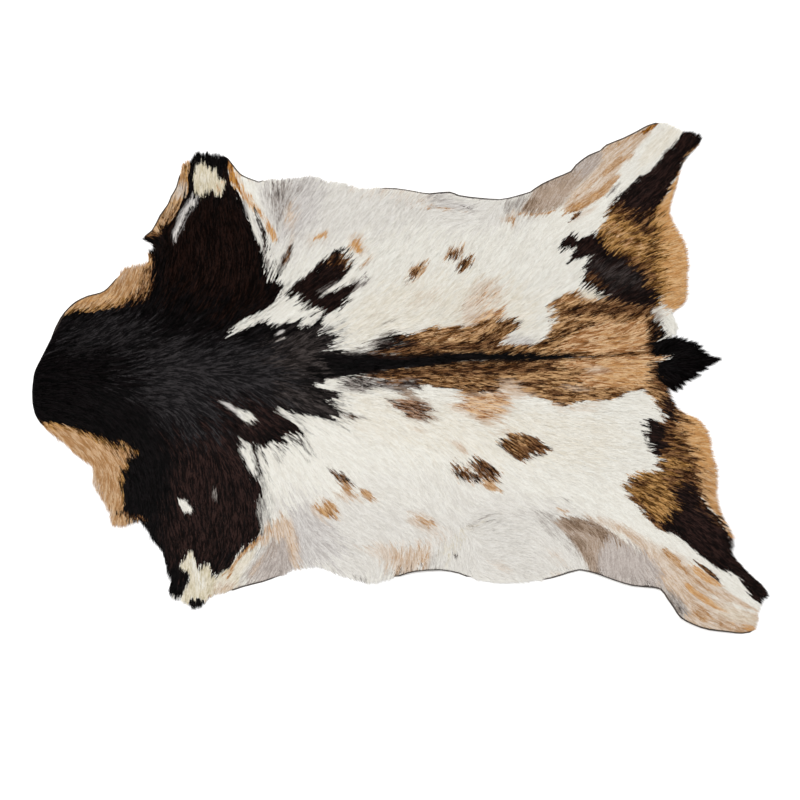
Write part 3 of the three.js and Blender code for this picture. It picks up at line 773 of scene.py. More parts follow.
# %% The brown saddle on both sides of the spine
SADDLE = [
    ("fawn", 10, 0.8, [(462, 325), (463, 312), (468, 300), (480, 305), (500, 305), (505, 318), (500, 328),
        (478, 328)]),
    ("honey", 8, 0.7, [(478, 318), (484, 309), (500, 306), (504, 314), (500, 326), (484, 326)]),
    ("brown", 7, 1.0, [(404, 345), (410, 336), (420, 331), (430, 327), (440, 325), (447, 327), (456, 325),
        (466, 327), (478, 324), (488, 318), (503, 317), (513, 318), (521, 322), (519, 329), (511, 333),
        (505, 338), (503, 343), (520, 344), (530, 347), (542, 340), (556, 334), (570, 330), (570, 358),
        (400, 358)]),
    ("honey", 6, 0.4, [(420, 334), (445, 329), (470, 330), (488, 322), (490, 332), (460, 342), (424, 344)]),
    ("bark", 5, 0.8, band((400, 347, 5), (440, 347, 6), (475, 346, 9), (495, 345, 8), (505, 347, 4))),
    ("bark", 5, 0.75, [(478, 336), (488, 331), (498, 331), (500, 342), (494, 348), (480, 348)]),
    ("bark", 4, 0.7, [(500, 320), (514, 319), (521, 324), (516, 331), (504, 330)]),
    ("bark", 4, 0.5, band((414, 342, 2), (440, 334, 3), (466, 331, 3))),
    ("mist", 4, 0.7, [(504, 338), (516, 335), (530, 337), (540, 340), (528, 345), (512, 344)]),
    ("bark", 4, 0.6, band((508, 349, 2), (520, 346, 3), (532, 347, 3), (545, 344, 2))),
    ("sable", 8, 0.95, [(372, 347), (380, 338), (390, 333), (402, 333), (414, 335), (418, 342), (410, 350),
        (395, 354), (372, 354)]),
    ("bark", 6, 0.4, [(392, 336), (410, 334), (424, 338), (418, 348), (398, 350)]),
    ("slate", 8, 0.6, [(360, 347), (376, 336), (390, 330), (394, 335), (382, 343), (370, 351)]),
    ("brown", 6, 1.0, [(374, 378), (374, 371), (400, 370), (420, 364), (450, 361), (500, 359), (570, 357),
        (600, 356), (655, 352), (655, 388), (642, 389), (632, 392), (622, 398), (612, 401), (590, 401),
        (576, 404), (566, 407), (556, 405), (546, 400), (535, 397), (525, 395), (515, 391), (505, 389),
        (497, 391), (485, 393), (475, 397), (463, 396), (459, 390), (450, 389), (440, 388), (430, 384),
        (420, 385), (413, 380), (400, 382), (385, 380)]),
    ("bark", 6, 0.75, [(374, 374), (420, 364), (450, 360), (500, 360), (562, 358), (556, 370), (500, 376),
        (450, 377), (420, 380), (378, 380)]),
    ("bark", 6, 0.3, [(425, 378), (500, 376), (500, 391), (460, 392), (430, 386)]),
    ("fawn", 8, 0.9, [(452, 411), (459, 400), (463, 394), (475, 394), (505, 390), (516, 397), (512, 407),
        (505, 418), (490, 426), (478, 420), (464, 413)]),
    ("honey", 7, 0.7, [(462, 408), (464, 396), (480, 394), (504, 391), (508, 402), (500, 414), (486, 420),
        (472, 414)]),
    ("bark", 5, 0.6, [(440, 384), (470, 385), (500, 383), (496, 391), (480, 393), (455, 389)]),
    ("fawn", 6, 0.75, [(500, 380), (515, 380), (522, 390), (540, 394), (520, 399), (502, 392)]),
    ("bark", 6, 0.65, [(518, 382), (530, 379), (545, 380), (540, 388), (524, 388)]),
    ("bark", 6, 0.65, [(546, 390), (556, 388), (564, 394), (560, 400), (548, 398)]),
    ("bark", 5, 0.55, band((500, 365, 4), (520, 366, 6), (540, 364, 5), (556, 362, 3))),
    ("fawn", 8, 0.45, [(550, 404), (580, 406), (600, 402), (596, 412), (566, 413)]),
    ("honey", 7, 0.85, [(560, 361), (600, 358), (655, 354), (655, 386), (632, 388), (600, 388), (580, 385),
        (572, 378), (566, 370)]),
    ("ochre", 6, 0.5, [(600, 360), (655, 358), (652, 386), (610, 388), (596, 376)]),
    ("fawn", 6, 0.7, oval(600, 370, 22, 8, 5)),
    ("fawn", 6, 0.6, band((560, 385, 3), (580, 389, 6), (592, 393, 3))),
    ("brown", 6, 0.85, oval(577, 372, 22, 10, 0)),
    ("bark", 5, 0.5, oval(580, 374, 14, 6, 0)),
    ("brown", 6, 0.85, band((584, 393, 5), (600, 393, 8), (616, 394, 7), (628, 391, 3))),
    ("bark", 5, 0.4, band((590, 396, 3), (606, 397, 4), (620, 395, 2))),
    ("slate", 8, 0.85, [(334, 378), (355, 376), (374, 377), (382, 386), (371, 392), (358, 393),
        (344, 389)]),
    ("sable", 6, 0.45, [(334, 376), (374, 376), (392, 380), (384, 387), (360, 388), (342, 385)]),
    ("slate", 7, 0.9, [(374, 378), (400, 379), (417, 380), (420, 389), (412, 393), (398, 392), (380, 388)]),
    ("bark", 6, 0.45, [(376, 378), (400, 378), (418, 380), (416, 388), (398, 388), (382, 385)]),
    ("umber", 6, 0.85, [(398, 388), (412, 388), (416, 396), (426, 400), (406, 402)]),
    ("umber", 8, 0.6, [(386, 400), (400, 396), (424, 398), (440, 410), (430, 424), (410, 421), (396, 410)]),
    ("russet", 8, 0.85, [(392, 402), (398, 400), (410, 398), (420, 400), (428, 404), (437, 410), (430, 414),
        (429, 420), (418, 420), (408, 417), (402, 411), (396, 407)]),
    ("russet", 6, 0.5, [(390, 402), (402, 402), (412, 404), (426, 409), (420, 417), (404, 411)]),
    ("bark", 8, 0.35, [(392, 401), (418, 400), (436, 410), (424, 420), (404, 418)]),
    ("slate", 5, 0.6, [(340, 414), (350, 412), (362, 414), (368, 419), (356, 421), (346, 419)]),
    ("bark", 4, 0.7, oval(352, 417, 12, 5, -5)),
    ("fawn", 6, 0.5, oval(420, 430, 18, 6, -15)),
    ("slate", 6, 0.6, band((336, 406, 2), (342, 410, 3), (350, 414, 2))),
]

# %% The rump, left of the spine
LEFT_RUMP = [
    ("brown", 6, 1.0, [(546, 338), (552, 328), (554, 318), (552, 310), (548, 305), (556, 299), (566, 294),
        (576, 290), (585, 294), (600, 297), (640, 294), (664, 302), (664, 345), (655, 355), (560, 358)]),
    ("golden", 6, 1.0, [(598, 235), (603, 225), (607, 214), (613, 203), (655, 196), (664, 215), (664, 260),
        (666, 285), (664, 304), (640, 296), (620, 270), (602, 250)]),
    ("honey", 8, 0.9, [(582, 326), (600, 322), (630, 321), (648, 322), (655, 332), (655, 350), (640, 352),
        (600, 354), (566, 352), (560, 348), (568, 340)]),
    ("ochre", 6, 0.35, [(600, 330), (645, 326), (652, 345), (600, 350)]),
    ("honey", 7, 0.5, band((552, 305, 4), (566, 299, 6), (582, 299, 6), (594, 302, 3))),
    ("honey", 7, 0.4, band((560, 318, 4), (590, 318, 5), (620, 320, 3))),
    ("bark", 6, 0.75, [(560, 308), (590, 302), (610, 298), (645, 300), (658, 310), (650, 318), (620, 315),
        (590, 314), (566, 316)]),
    ("bark", 6, 0.2, [(600, 298), (650, 302), (655, 316), (620, 314), (598, 306)]),
    ("bark", 6, 0.5, band((546, 343, 5), (562, 334, 7), (582, 326, 6), (604, 323, 3))),
    ("bark", 5, 0.3, band((575, 346, 2), (610, 338, 2.5), (645, 334, 2))),
    ("honey", 6, 0.5, band((606, 222, 5), (618, 234, 9), (632, 243, 9), (646, 252, 6))),
    ("bark", 7, 0.85, [(610, 202), (655, 200), (656, 222), (648, 238), (634, 230), (622, 218), (612, 212)]),
    ("sable", 7, 0.5, [(624, 204), (655, 203), (654, 222), (646, 230), (634, 218)]),
    ("bark", 6, 0.65, band((650, 226, 6), (654, 240, 8), (654, 256, 8), (650, 268, 6))),
    ("bark", 6, 0.75, band((625, 254, 5), (640, 264, 11), (652, 276, 10), (658, 290, 6))),
    ("bark", 4, 0.4, band((602, 238, 3), (612, 228, 3), (622, 216, 3))),
    ("bark", 4, 0.3, band((606, 246, 2), (622, 242, 3), (636, 236, 2))),
    ("sable", 6, 1.0, [(563, 242), (566, 236), (572, 234), (580, 237), (588, 235), (594, 230), (600, 232),
        (605, 243), (612, 250), (622, 254), (629, 262), (640, 270), (646, 280), (652, 288), (659, 299),
        (664, 308), (652, 304), (640, 306), (628, 304), (615, 301), (606, 296), (598, 292), (590, 289),
        (585, 283), (582, 277), (588, 271), (581, 270), (587, 264), (590, 259), (583, 258), (575, 260),
        (566, 264), (571, 256), (575, 252), (570, 248), (563, 251)]),
    ("smoke", 10, 0.6, [(590, 256), (612, 260), (634, 276), (640, 294), (610, 288), (592, 272)]),
    ("bark", 4, 0.5, [(586, 272), (600, 276), (606, 290), (594, 288), (586, 280)]),
    ("bark", 5, 0.9, [(650, 312), (658, 314), (665, 324), (663, 334), (656, 344), (650, 352), (648, 330)]),
    ("black", 5, 0.5, [(652, 318), (664, 322), (662, 332), (654, 342)]),
    ("cream", 4, 0.8, [(577, 294), (586, 288), (596, 292), (606, 296), (597, 299), (586, 298)]),
]

# %% The left hind shank
LEFT_HIND = [
    ("ochre", 5, 1.0, [(704, 130), (700, 146), (693, 152), (687, 157), (683, 163), (680, 170), (676, 177),
        (672, 183), (670, 190), (665, 196), (660, 203), (658, 215), (657, 230), (658, 250), (662, 270),
        (664, 290), (666, 306), (668, 318), (690, 325), (695, 250), (690, 170)]),
    ("brown", 5, 0.7, [(700, 147), (692, 149), (682, 160), (676, 172), (670, 186), (660, 200), (656, 212),
        (664, 200), (676, 180), (686, 160)]),
    ("golden", 7, 0.6, [(654, 214), (663, 212), (666, 240), (667, 270), (669, 296), (660, 294),
        (656, 240)]),
    ("tan", 5, 0.4, band((674, 190, 3), (675, 215, 3), (684, 245, 3), (686, 275, 3), (682, 308, 3))),
    ("taupe", 5, 1.0, [(519, 212), (525, 203), (530, 196), (535, 188), (548, 176), (575, 158), (600, 146),
        (604, 152), (600, 164), (588, 178), (575, 190), (565, 202), (556, 209), (545, 213), (530, 214)]),
    ("lilac", 6, 0.6, [(574, 160), (600, 146), (604, 156), (596, 172), (582, 180), (574, 172)]),
    ("umber", 5, 0.75, [(519, 212), (525, 202), (534, 196), (540, 204), (534, 212)]),
    ("umber", 5, 0.5, band((530, 211, 3), (545, 209, 4), (560, 203, 3))),
    ("tan", 2, 0.8, band((519, 213, 1.5), (532, 214.5, 2), (545, 213.5, 2), (556, 210, 1.5))),
    ("fawn", 4, 1.0, [(562, 208), (574, 192), (588, 178), (600, 164), (603, 148), (620, 136), (640, 130),
        (654, 124), (652, 132), (642, 142), (634, 152), (630, 160), (622, 164), (618, 172), (616, 180),
        (606, 192), (596, 200), (582, 210), (570, 214)]),
    ("white", 5, 0.55, band((584, 193, 1.5), (594, 186, 3), (604, 176, 3), (612, 167, 2))),
    ("white", 5, 0.5, band((604, 172, 1.5), (612, 162, 2.5), (622, 153, 3), (632, 146, 1.5))),
    ("white", 4, 0.4, band((610, 160, 1), (622, 148, 2), (636, 140, 1.5))),
    ("tan", 5, 0.85, band((562, 213, 3), (574, 208, 9), (588, 201, 10), (602, 192, 9), (612, 182, 7),
        (618, 176, 2))),
    ("tan", 5, 0.75, band((602, 176, 3), (611, 167, 7), (622, 159, 7), (634, 153, 3))),
    ("tan", 5, 0.5, band((574, 199, 2), (586, 188, 4), (600, 176, 3))),
    ("tan", 5, 0.5, band((602, 153, 3), (616, 144, 5), (632, 137, 5), (642, 133, 2))),
    ("ochre", 4, 0.4, band((612, 160, 1.5), (625, 150, 3), (640, 137, 2))),
    ("ochre", 4, 0.4, band((566, 211, 2), (580, 204, 5), (596, 195, 4))),
    ("fawn", 5, 0.7, band((572, 220, 2), (584, 214, 5), (596, 208, 2))),
    ("bark", 3, 0.9, band((570, 221, 1.5), (575, 216, 5), (581, 212, 2))),
    ("rust", 3, 0.5, oval(572, 212, 9, 4, 30)),
    ("rust", 2, 1.0, band((641, 134, 2.5), (648, 130, 4), (655, 124, 4), (662, 119, 2.5))),
    ("bark", 2, 0.6, band((645, 132, 1), (652, 127, 2), (658, 122, 1.5))),
    ("white", 4, 1.0, [(656, 128), (662, 119), (690, 120), (692, 128), (682, 136), (676, 142), (670, 148),
        (665, 151), (661, 159), (656, 167), (650, 173), (643, 176), (636, 180), (631, 185), (625, 190),
        (618, 196), (611, 201), (606, 210), (598, 218), (590, 222), (596, 212), (604, 204), (612, 196),
        (620, 187), (624, 180), (620, 173), (624, 165), (632, 161), (638, 152), (646, 141)]),
    ("cream", 6, 0.5, [(656, 134), (672, 122), (688, 124), (672, 142), (655, 160), (640, 172), (640, 156)]),
    ("slate", 3, 0.8, band((606, 198, 1.5), (613, 191, 3), (618, 185, 3), (623, 181, 1))),
    ("slate", 4, 0.5, band((606, 208, 1.5), (616, 196, 2), (626, 188, 1.5))),
    ("sable", 6, 1.0, [(696, 125), (688, 129), (681, 136), (676, 142), (670, 148), (665, 150), (661, 158),
        (656, 166), (650, 172), (643, 176), (636, 179), (631, 184), (625, 190), (618, 196), (612, 200),
        (618, 203), (630, 206), (640, 211), (650, 212), (655, 208), (660, 202), (665, 196), (670, 190),
        (672, 183), (676, 177), (680, 170), (683, 163), (687, 157), (693, 151), (702, 144), (706, 132)]),
    ("seal", 12, 0.6, [(660, 160), (676, 156), (668, 184), (650, 204), (630, 200), (650, 178)]),
    ("brown", 4, 0.5, band((686, 155, 3), (694, 149, 4), (700, 144, 3))),
]

# %% The rump and hind shank, right of the spine
RIGHT_HIND = [
    ("ochre", 5, 1.0, [(682, 388), (690, 388), (705, 405), (715, 440), (725, 500), (740, 545), (733, 545),
        (731, 536), (728, 528), (722, 520), (716, 512), (709, 504), (702, 495), (697, 483), (695, 470),
        (692, 458), (688, 448), (684, 438), (680, 428), (678, 418), (678, 408), (680, 399)]),
    ("tan", 6, 0.5, [(700, 468), (716, 462), (722, 500), (732, 535), (722, 520), (706, 496)]),
    ("brown", 7, 0.75, [(680, 398), (688, 418), (696, 445), (703, 470), (710, 498), (698, 486), (688, 450),
        (678, 420)]),
    ("bark", 6, 1.0, [(646, 388), (655, 360), (684, 384), (682, 398), (679, 410), (679, 422), (684, 434),
        (691, 446), (697, 462), (700, 478), (704, 494), (680, 500), (664, 482), (660, 470), (660, 458),
        (655, 452), (651, 445), (649, 437), (648, 428), (649, 420), (658, 423), (668, 421), (664, 414),
        (657, 408), (652, 400), (649, 393)]),
    ("brown", 6, 0.9, [(646, 386), (664, 378), (664, 392), (668, 404), (664, 410), (656, 404), (650, 396)]),
    ("golden", 6, 0.25, [(668, 428), (682, 430), (692, 448), (698, 470), (682, 466), (664, 470),
        (666, 450)]),
    ("golden", 5, 0.6, [(662, 456), (680, 458), (694, 466), (690, 472), (664, 468)]),
    ("sable", 4, 0.7, [(662, 394), (680, 388), (680, 404), (676, 422), (668, 420), (662, 408)]),
    ("sable", 5, 1.0, [(646, 421), (654, 419), (664, 424), (668, 432), (666, 446), (664, 458), (656, 454),
        (651, 446), (649, 438), (647, 430)]),
    ("golden", 6, 1.0, [(659, 471), (650, 471), (641, 473), (634, 477), (630, 483), (626, 490), (629, 496),
        (634, 502), (640, 508), (645, 515), (651, 523), (658, 530), (668, 533), (684, 528), (688, 500),
        (684, 480), (672, 470)]),
    ("bark", 6, 0.25, [(626, 488), (640, 474), (664, 471), (690, 480), (692, 500), (676, 524), (658, 528),
        (640, 506)]),
    ("bark", 5, 0.7, band((628, 482, 3), (636, 485, 6), (646, 484, 5), (656, 480, 2))),
    ("bark", 5, 0.8, band((626, 491, 2), (640, 504, 5), (652, 519, 6), (664, 530, 5))),
    ("bark", 6, 0.75, [(664, 474), (690, 476), (700, 490), (690, 500), (676, 506), (672, 490)]),
    ("sable", 7, 1.0, [(680, 484), (692, 482), (700, 492), (708, 503), (716, 512), (722, 520), (728, 528),
        (731, 536), (733, 546), (745, 550), (770, 580), (776, 600), (764, 608), (758, 602), (752, 600),
        (748, 593), (744, 586), (741, 579), (734, 575), (727, 573), (720, 572), (712, 565), (704, 559),
        (696, 553), (690, 547), (684, 541), (678, 537), (668, 534), (662, 526), (672, 518), (678, 504),
        (676, 492)]),
    ("bark", 7, 0.5, [(692, 486), (700, 490), (722, 520), (729, 532), (716, 528), (700, 512)]),
    ("seal", 14, 0.8, [(684, 490), (698, 500), (722, 530), (728, 556), (714, 560), (696, 540), (680, 516)]),
    ("fawn", 6, 1.0, [(640, 545), (660, 553), (680, 560), (700, 572), (722, 588), (745, 600), (765, 612),
        (765, 640), (700, 640), (660, 600), (645, 580)]),
    ("lilac", 8, 0.9, [(610, 540), (635, 545), (652, 558), (664, 574), (660, 598), (630, 598), (600, 580)]),
    ("white", 4, 1.0, [(652, 528), (664, 532), (676, 536), (684, 541), (692, 549), (704, 559), (714, 567),
        (722, 573), (734, 575), (742, 580), (746, 592), (754, 602), (764, 606), (760, 612), (748, 604),
        (734, 595), (722, 586), (712, 574), (700, 565), (688, 557), (674, 551), (660, 546), (644, 540)]),
    ("fawn", 6, 0.6, [(615, 520), (640, 534), (665, 548), (690, 558), (684, 562), (660, 556), (632, 542)]),
    ("bark", 3, 0.9, band((695, 561, 1), (701, 566, 3), (708, 571, 5), (714, 576, 5), (721, 583, 1.5))),
    ("ochre", 5, 0.8, band((690, 564, 3), (701, 574, 8), (712, 581, 7), (722, 586, 2))),
    ("tan", 5, 0.85, band((664, 549, 3), (671, 555, 7), (678, 563, 7), (686, 571, 3))),
    ("tan", 6, 0.5, band((680, 566, 4), (690, 575, 7), (702, 586, 6), (714, 594, 3))),
    ("ochre", 4, 0.75, band((684, 584, 3), (694, 592, 6), (706, 600, 6), (720, 609, 5), (730, 613, 2))),
    ("tan", 5, 0.6, [(692, 602), (706, 606), (714, 616), (708, 626), (692, 616)]),
    ("cream", 8, 0.5, [(716, 600), (740, 606), (760, 616), (758, 626), (736, 624), (716, 614)]),
    ("tan", 5, 0.5, [(716, 618), (738, 624), (758, 628), (758, 636), (742, 636), (720, 628)]),
    ("ochre", 4, 0.6, oval(750, 628, 14, 7, -20)),
    ("white", 5, 0.55, band((708, 594, 1.5), (720, 600, 4), (738, 607, 6), (758, 614, 4))),
    ("white", 4, 0.35, band((680, 588, 1.5), (700, 602, 2.5), (716, 618, 1.5))),
    ("white", 4, 0.35, band((660, 560, 2), (672, 570, 3), (684, 580, 2))),
    ("grey", 5, 0.8, [(656, 586), (668, 588), (680, 598), (690, 612), (682, 620), (666, 604)]),
    ("slate", 4, 0.6, [(664, 592), (674, 597), (684, 610), (682, 618), (674, 610), (664, 598)]),
]

# %% The bare fold behind the right flank
GROIN = [
    ("fawn", 6, 0.8, band((586, 517, 2), (603, 522, 6), (622, 531, 8), (640, 541, 8), (655, 550, 3))),
    ("grey", 6, 0.4, [(535, 512), (560, 515), (580, 530), (590, 560), (575, 560), (556, 540), (540, 528)]),
    ("taupe", 3, 0.95, [(552, 521), (575, 518), (592, 520), (606, 528), (620, 538), (634, 548), (640, 562),
        (620, 580), (600, 580), (590, 572), (582, 556), (572, 540)]),
    ("lilac", 6, 0.95, [(602, 545), (618, 545), (634, 554), (642, 572), (640, 594), (604, 584),
        (596, 566)]),
    ("umber", 3, 1.0, [(556, 520), (566, 517), (576, 518), (590, 520), (604, 527), (616, 536), (624, 547),
        (612, 545), (598, 538), (584, 532), (570, 530)]),
    ("umber", 5, 0.6, band((570, 532, 8), (580, 545, 11), (589, 557, 10), (596, 570, 7))),
    ("slate", 5, 0.3, band((560, 519, 2), (576, 520, 4), (595, 525, 5), (610, 533, 3))),
    ("grey", 5, 0.6, band((535, 511, 1.5), (548, 514, 4), (558, 518, 3))),
    ("white", 6, 0.3, band((612, 548, 2), (613, 562, 4), (616, 578, 3))),
    ("white", 5, 0.3, band((624, 556, 1.5), (626, 568, 3), (630, 580, 2))),
    ("slate", 4, 0.6, band((564, 498, 1), (569, 501, 2), (575, 505, 1))),
    ("tan", 4, 0.6, oval(565, 512, 13, 6, -25)),
]

# %% The dorsal stripe and the tail's root
TAIL = [
    ("white", 5, 0.65, [(652, 308), (664, 304), (672, 312), (668, 320), (658, 320)]),
    ("white", 4, 1.0, [(664, 317), (672, 312), (684, 316), (682, 340), (668, 342), (664, 330)]),
    ("grey", 4, 0.45, [(653, 307), (663, 308), (667, 318), (660, 320)]),
    ("bark", 5, 0.85, [(364, 352), (388, 349), (414, 347), (440, 346), (440, 358), (412, 360), (366, 362)]),
    ("bark", 5, 0.85, band((362, 376, 4), (390, 373, 8), (415, 371, 7), (440, 369, 3))),
    ("brown", 4, 0.4, [(392, 354), (412, 351), (440, 350), (440, 355), (410, 358)]),
    ("dusk", 7, 0.95, band((350, 364, 27), (372, 364, 23), (390, 363, 18), (420, 361.5, 15), (445, 359, 15),
        (471, 356.5, 13), (500, 357, 11), (540, 357, 9), (565, 356, 6), (580, 357, 3))),
    ("black", 5, 1.0, band((342, 364, 25), (358, 364, 22), (372, 364, 14), (390, 364, 9), (405, 363.5, 8),
        (420, 362, 8), (445, 359, 8.5), (471, 356.5, 7.5), (500, 357, 6), (525, 357, 5.5), (550, 357, 4),
        (565, 356, 3.5), (578, 357, 2))),
    ("black", 14, 0.7, [(324, 356), (346, 352), (346, 378), (326, 374)]),
    ("bark", 3, 0.9, band((572, 357, 2.5), (590, 357.5, 2), (605, 355, 1.6), (622, 354, 1.4),
        (645, 351, 1))),
    ("brown", 5, 0.3, band((380, 353, 2), (410, 352, 3), (450, 350, 3), (500, 351, 2), (550, 353, 2))),
    ("brown", 4, 0.35, band((384, 371, 2), (410, 369, 2.5), (440, 366, 2), (480, 363, 2), (520, 362, 2))),
    ("slate", 5, 0.5, band((340, 353, 1.5), (360, 353, 3), (384, 352, 2))),
    ("bark", 5, 0.75, [(646, 345), (654, 336), (662, 340), (664, 350), (664, 376), (672, 392), (656, 392),
        (650, 370)]),
    ("black", 5, 0.8, [(652, 320), (662, 322), (666, 334), (662, 346), (652, 346)]),
    ("black", 5, 1.0, [(652, 350), (655, 344), (660, 338), (668, 336), (730, 330), (730, 390), (684, 392),
        (676, 392), (669, 388), (664, 381), (660, 374), (657, 366), (655, 362), (668, 360), (670, 354),
        (654, 354)]),
    ("honey", 4, 0.7, [(640, 354), (652, 354), (664, 354), (672, 357), (664, 360), (652, 360), (640, 360)]),
]

# %% All the markings, in the order in which they are laid down
MARKINGS = (
    ZONES + UNDERLAY + SHOULDERS + NECK + LEFT_FORE + LEFT_FLANK + RIGHT_FLANK + RIGHT_FORE + SADDLE
    + LEFT_RUMP + LEFT_HIND + GROIN + RIGHT_HIND + TAIL
)
print(len(MARKINGS), "markings")

# %% [markdown]
# ## Locks
#
# Neighbouring hairs stick together in locks that run with the flow. Noise that is smeared along the flow
# has just that look: each hair averages a few random values that lie up and down its own direction.

# %% Noise combed along the hair
COMBS = {
    # name: grid step and reach to each side in squares, seed
    "fine": (0.1, 0.9, 11),
    "broad": (0.45, 1.6, 12),
    "locks": (0.2, 1.0, 13),
    "mixing": (0.08, 0.6, 14),
    "streaks": (0.07, 0.6, 15),
}


def cloud(step, seed):
    """Random values on a grid of the given step, in squares."""
    rng = np.random.default_rng(seed)
    rows = int((GRID_HIGH[1] - GRID_LOW[1]) / step) + 2
    columns = int((GRID_HIGH[0] - GRID_LOW[0]) / step) + 2
    return Field(rng.random((rows, columns)), step)


def evened(values):
    """The values spread evenly from 0 to 1, in the same order."""
    ranks = np.empty(len(values))
    ranks[np.argsort(values)] = np.arange(len(values))
    return ranks / len(values)


def combed(name, along, across, flow):
    """Even noise in streaks that follow the hair, as the named comb makes them."""
    step, reach, seed = COMBS[name]
    noise = cloud(step, seed)
    total = np.zeros(len(along))
    steps = max(2, int(round(reach / step)))
    for k in range(-steps, steps + 1):
        shift = reach * k / steps
        found = noise.at(along + flow[:, 0] * shift, across + flow[:, 1] * shift)
        total += found * (1 - abs(k) / (steps + 1))
    return evened(total)


# %% [markdown]
# ## Rooting the hairs
#
# Hairs are rooted on a jittered grid, which fills the skin more evenly than pure chance would. Each root
# gets its direction, length, lift off the leather, roll and colour as plain numbers, and Geometry Nodes
# will turn them into strands.

# %% Roots
HAIRS = 455000
SEED = 7
ROOT_SPANS = ((-37.5, 37.6), (-26.5, 26.6))
JITTER = 0.5
rng = np.random.default_rng(SEED)
leather_rim = inset_outline()
LEATHER_DEPTH = Field(depth_inside(*GRID, leather_rim), GRID_STEP)


def rooted(count):
    """Jittered places inside the leather, in squares."""
    spacing = math.sqrt(leather_area / SQUARE**2 / count)
    along, across = np.meshgrid(*(np.arange(*span, spacing) for span in ROOT_SPANS))
    along = along.ravel() + rng.uniform(-JITTER, JITTER, along.size) * spacing
    across = across.ravel() + rng.uniform(-JITTER, JITTER, across.size) * spacing
    kept = LEATHER_DEPTH.at(along, across) > EDGE_SHOWN * BARE.at(along, across)
    return along[kept], across[kept]


root_along, root_across = rooted(HAIRS)
print(len(root_along), "roots,", round(leather_area / len(root_along) / MM**2, 2), "square mm for each")

# %% [markdown]
# Hair is short on the shanks and the neck, longer on the rump and longest at the tail. At the rim the hairs
# splay outwards a little, as nothing lies beside them there. Where a hair would stick out past the outline
# it is cut back, like the tips that a furrier trims.

# %% Length, direction and trim
LENGTHS = [
    # along, across, length in mm
    (-35, 0, 11), (-29, -10, 10), (-29, 8, 10), (-20, 0, 12), (-20, 20, 8), (-22, 14, 9), (-19, -20, 8),
    (-15, -12, 10), (-11, 18, 8), (-12, -17, 7), (0, 12, 11), (0, -12, 11), (10, 17, 9), (10, -18, 8),
    (5, 2, 14), (20, 10, 13), (20, -8, 12), (15, 18.5, 4), (19, 20, 4.5), (20, -16.5, 5), (22, -19, 5),
    (27, 21, 8), (24, 3, 15), (33, -20, 9), (28, 12, 11), (29, -8, 11), (28, 1.7, 18),
]
LENGTH_REACH = 1.5
LENGTH_SPREAD = 0.22
OVERSHOOT = 0.25
FRINGE_OVERSHOOT = 0.5
FRINGE_LENGTH = 0.7
YAW_SPREAD = math.radians(5)
LOCK_YAW = math.radians(4)
RIM_SPLAY = 0.35
RIM_REACH = 0.6
TRIMS = 8
TRIM = 0.8

length_rows = np.array(LENGTHS, float)
blended_length = blend_by_distance(length_rows[:, :2], length_rows[:, 2:] * MM, LENGTH_REACH)
LENGTH = Field(blended_length[..., 0], GRID_STEP)

flow = FLOW.at(root_along, root_across)
edge_gap = EDGE_DEPTH.at(root_along, root_across)
at_rim = np.exp(-edge_gap / RIM_REACH)
flow = unit(flow + RIM_SPLAY * at_rim[:, None] * OUTWARD.at(root_along, root_across))
fine = combed("fine", root_along, root_across, flow)
broad = combed("broad", root_along, root_across, flow)
yaw = np.arctan2(flow[:, 1], flow[:, 0])
yaw = yaw + LOCK_YAW * (broad - 0.5) * 2 + YAW_SPREAD * rng.standard_normal(len(yaw))
way = np.stack([np.cos(yaw), np.sin(yaw)], axis=-1)
spread = 1 + LENGTH_SPREAD * rng.uniform(-1, 1, len(yaw))
length = LENGTH.at(root_along, root_across) * spread / SQUARE
bareness = BARE.at(root_along, root_across)
shagginess = FRINGE.at(root_along, root_across)
length = length * (1 + FRINGE_LENGTH * shagginess * at_rim)
overshoot = (OVERSHOOT + FRINGE_OVERSHOOT * shagginess) * rng.random(len(yaw))
kept_in = EDGE_SHOWN * bareness - overshoot * (1 - bareness)
for _ in range(TRIMS):
    tip = EDGE_DEPTH.at(root_along + way[:, 0] * length, root_across + way[:, 1] * length)
    length = np.where(tip < kept_in, length * TRIM, length)
print("hairs are", round(float(length.mean() * SQUARE / MM), 1), "mm long on average")

# %% [markdown]
# A marking is seen where the hair's outer half lies, so each hair looks up its colour a little down its own
# length. The border is shifted along the flow by the combed noise, which gives the real coat's wisps.

# %% Colour for each hair
SEEN_AT = 0.65
CRISP_FADE = 0.15
SOFT_FADE = 0.5
TONE_CONTRAST = 1.3
WANDER_SHARES = (0.45, 0.2, 0.12, 0.25)  # fine, locks, broad and chance
MIXING_SHARE = 0.5
STREAK_SHARE = 0.55


def dyed(name, tone):
    """The colour at each tone, 0 to 1, of one kind's run of dyes."""
    dark, middle, light = DYES[name]
    tone = np.asarray(tone)[:, None]
    lower = dark + (middle - dark) * tone * 2
    upper = middle + (light - middle) * (tone * 2 - 1)
    return np.where(tone < 0.5, lower, upper)


def coat_colour(along, across, way, wander, chance, tone):
    """Lays the markings down in order and returns each place's colour."""
    colour = dyed("white", tone)
    for name, wisp, cover, loop in MARKINGS:
        loop, wisp = on_chart(loop), wisp / PIXELS_PER_SQUARE
        (left, below), (right, above) = loop.min(axis=0) - wisp, loop.max(axis=0) + wisp
        near = np.flatnonzero((along > left) & (along < right) & (across > below) & (across < above))
        if not len(near):
            continue
        shift = wisp * wander[near, None] * way[near]
        depth = depth_inside(along[near] + shift[:, 0], across[near] + shift[:, 1], loop)
        softness = KINDS[name][3]
        fade = (CRISP_FADE + SOFT_FADE * softness) * wisp
        share = cover * np.clip(depth / fade + 0.5, 0, 1)
        amount = np.clip((share - chance[near]) / softness + share, 0, 1)[:, None]
        colour[near] += (dyed(name, tone[near]) - colour[near]) * amount
    return colour


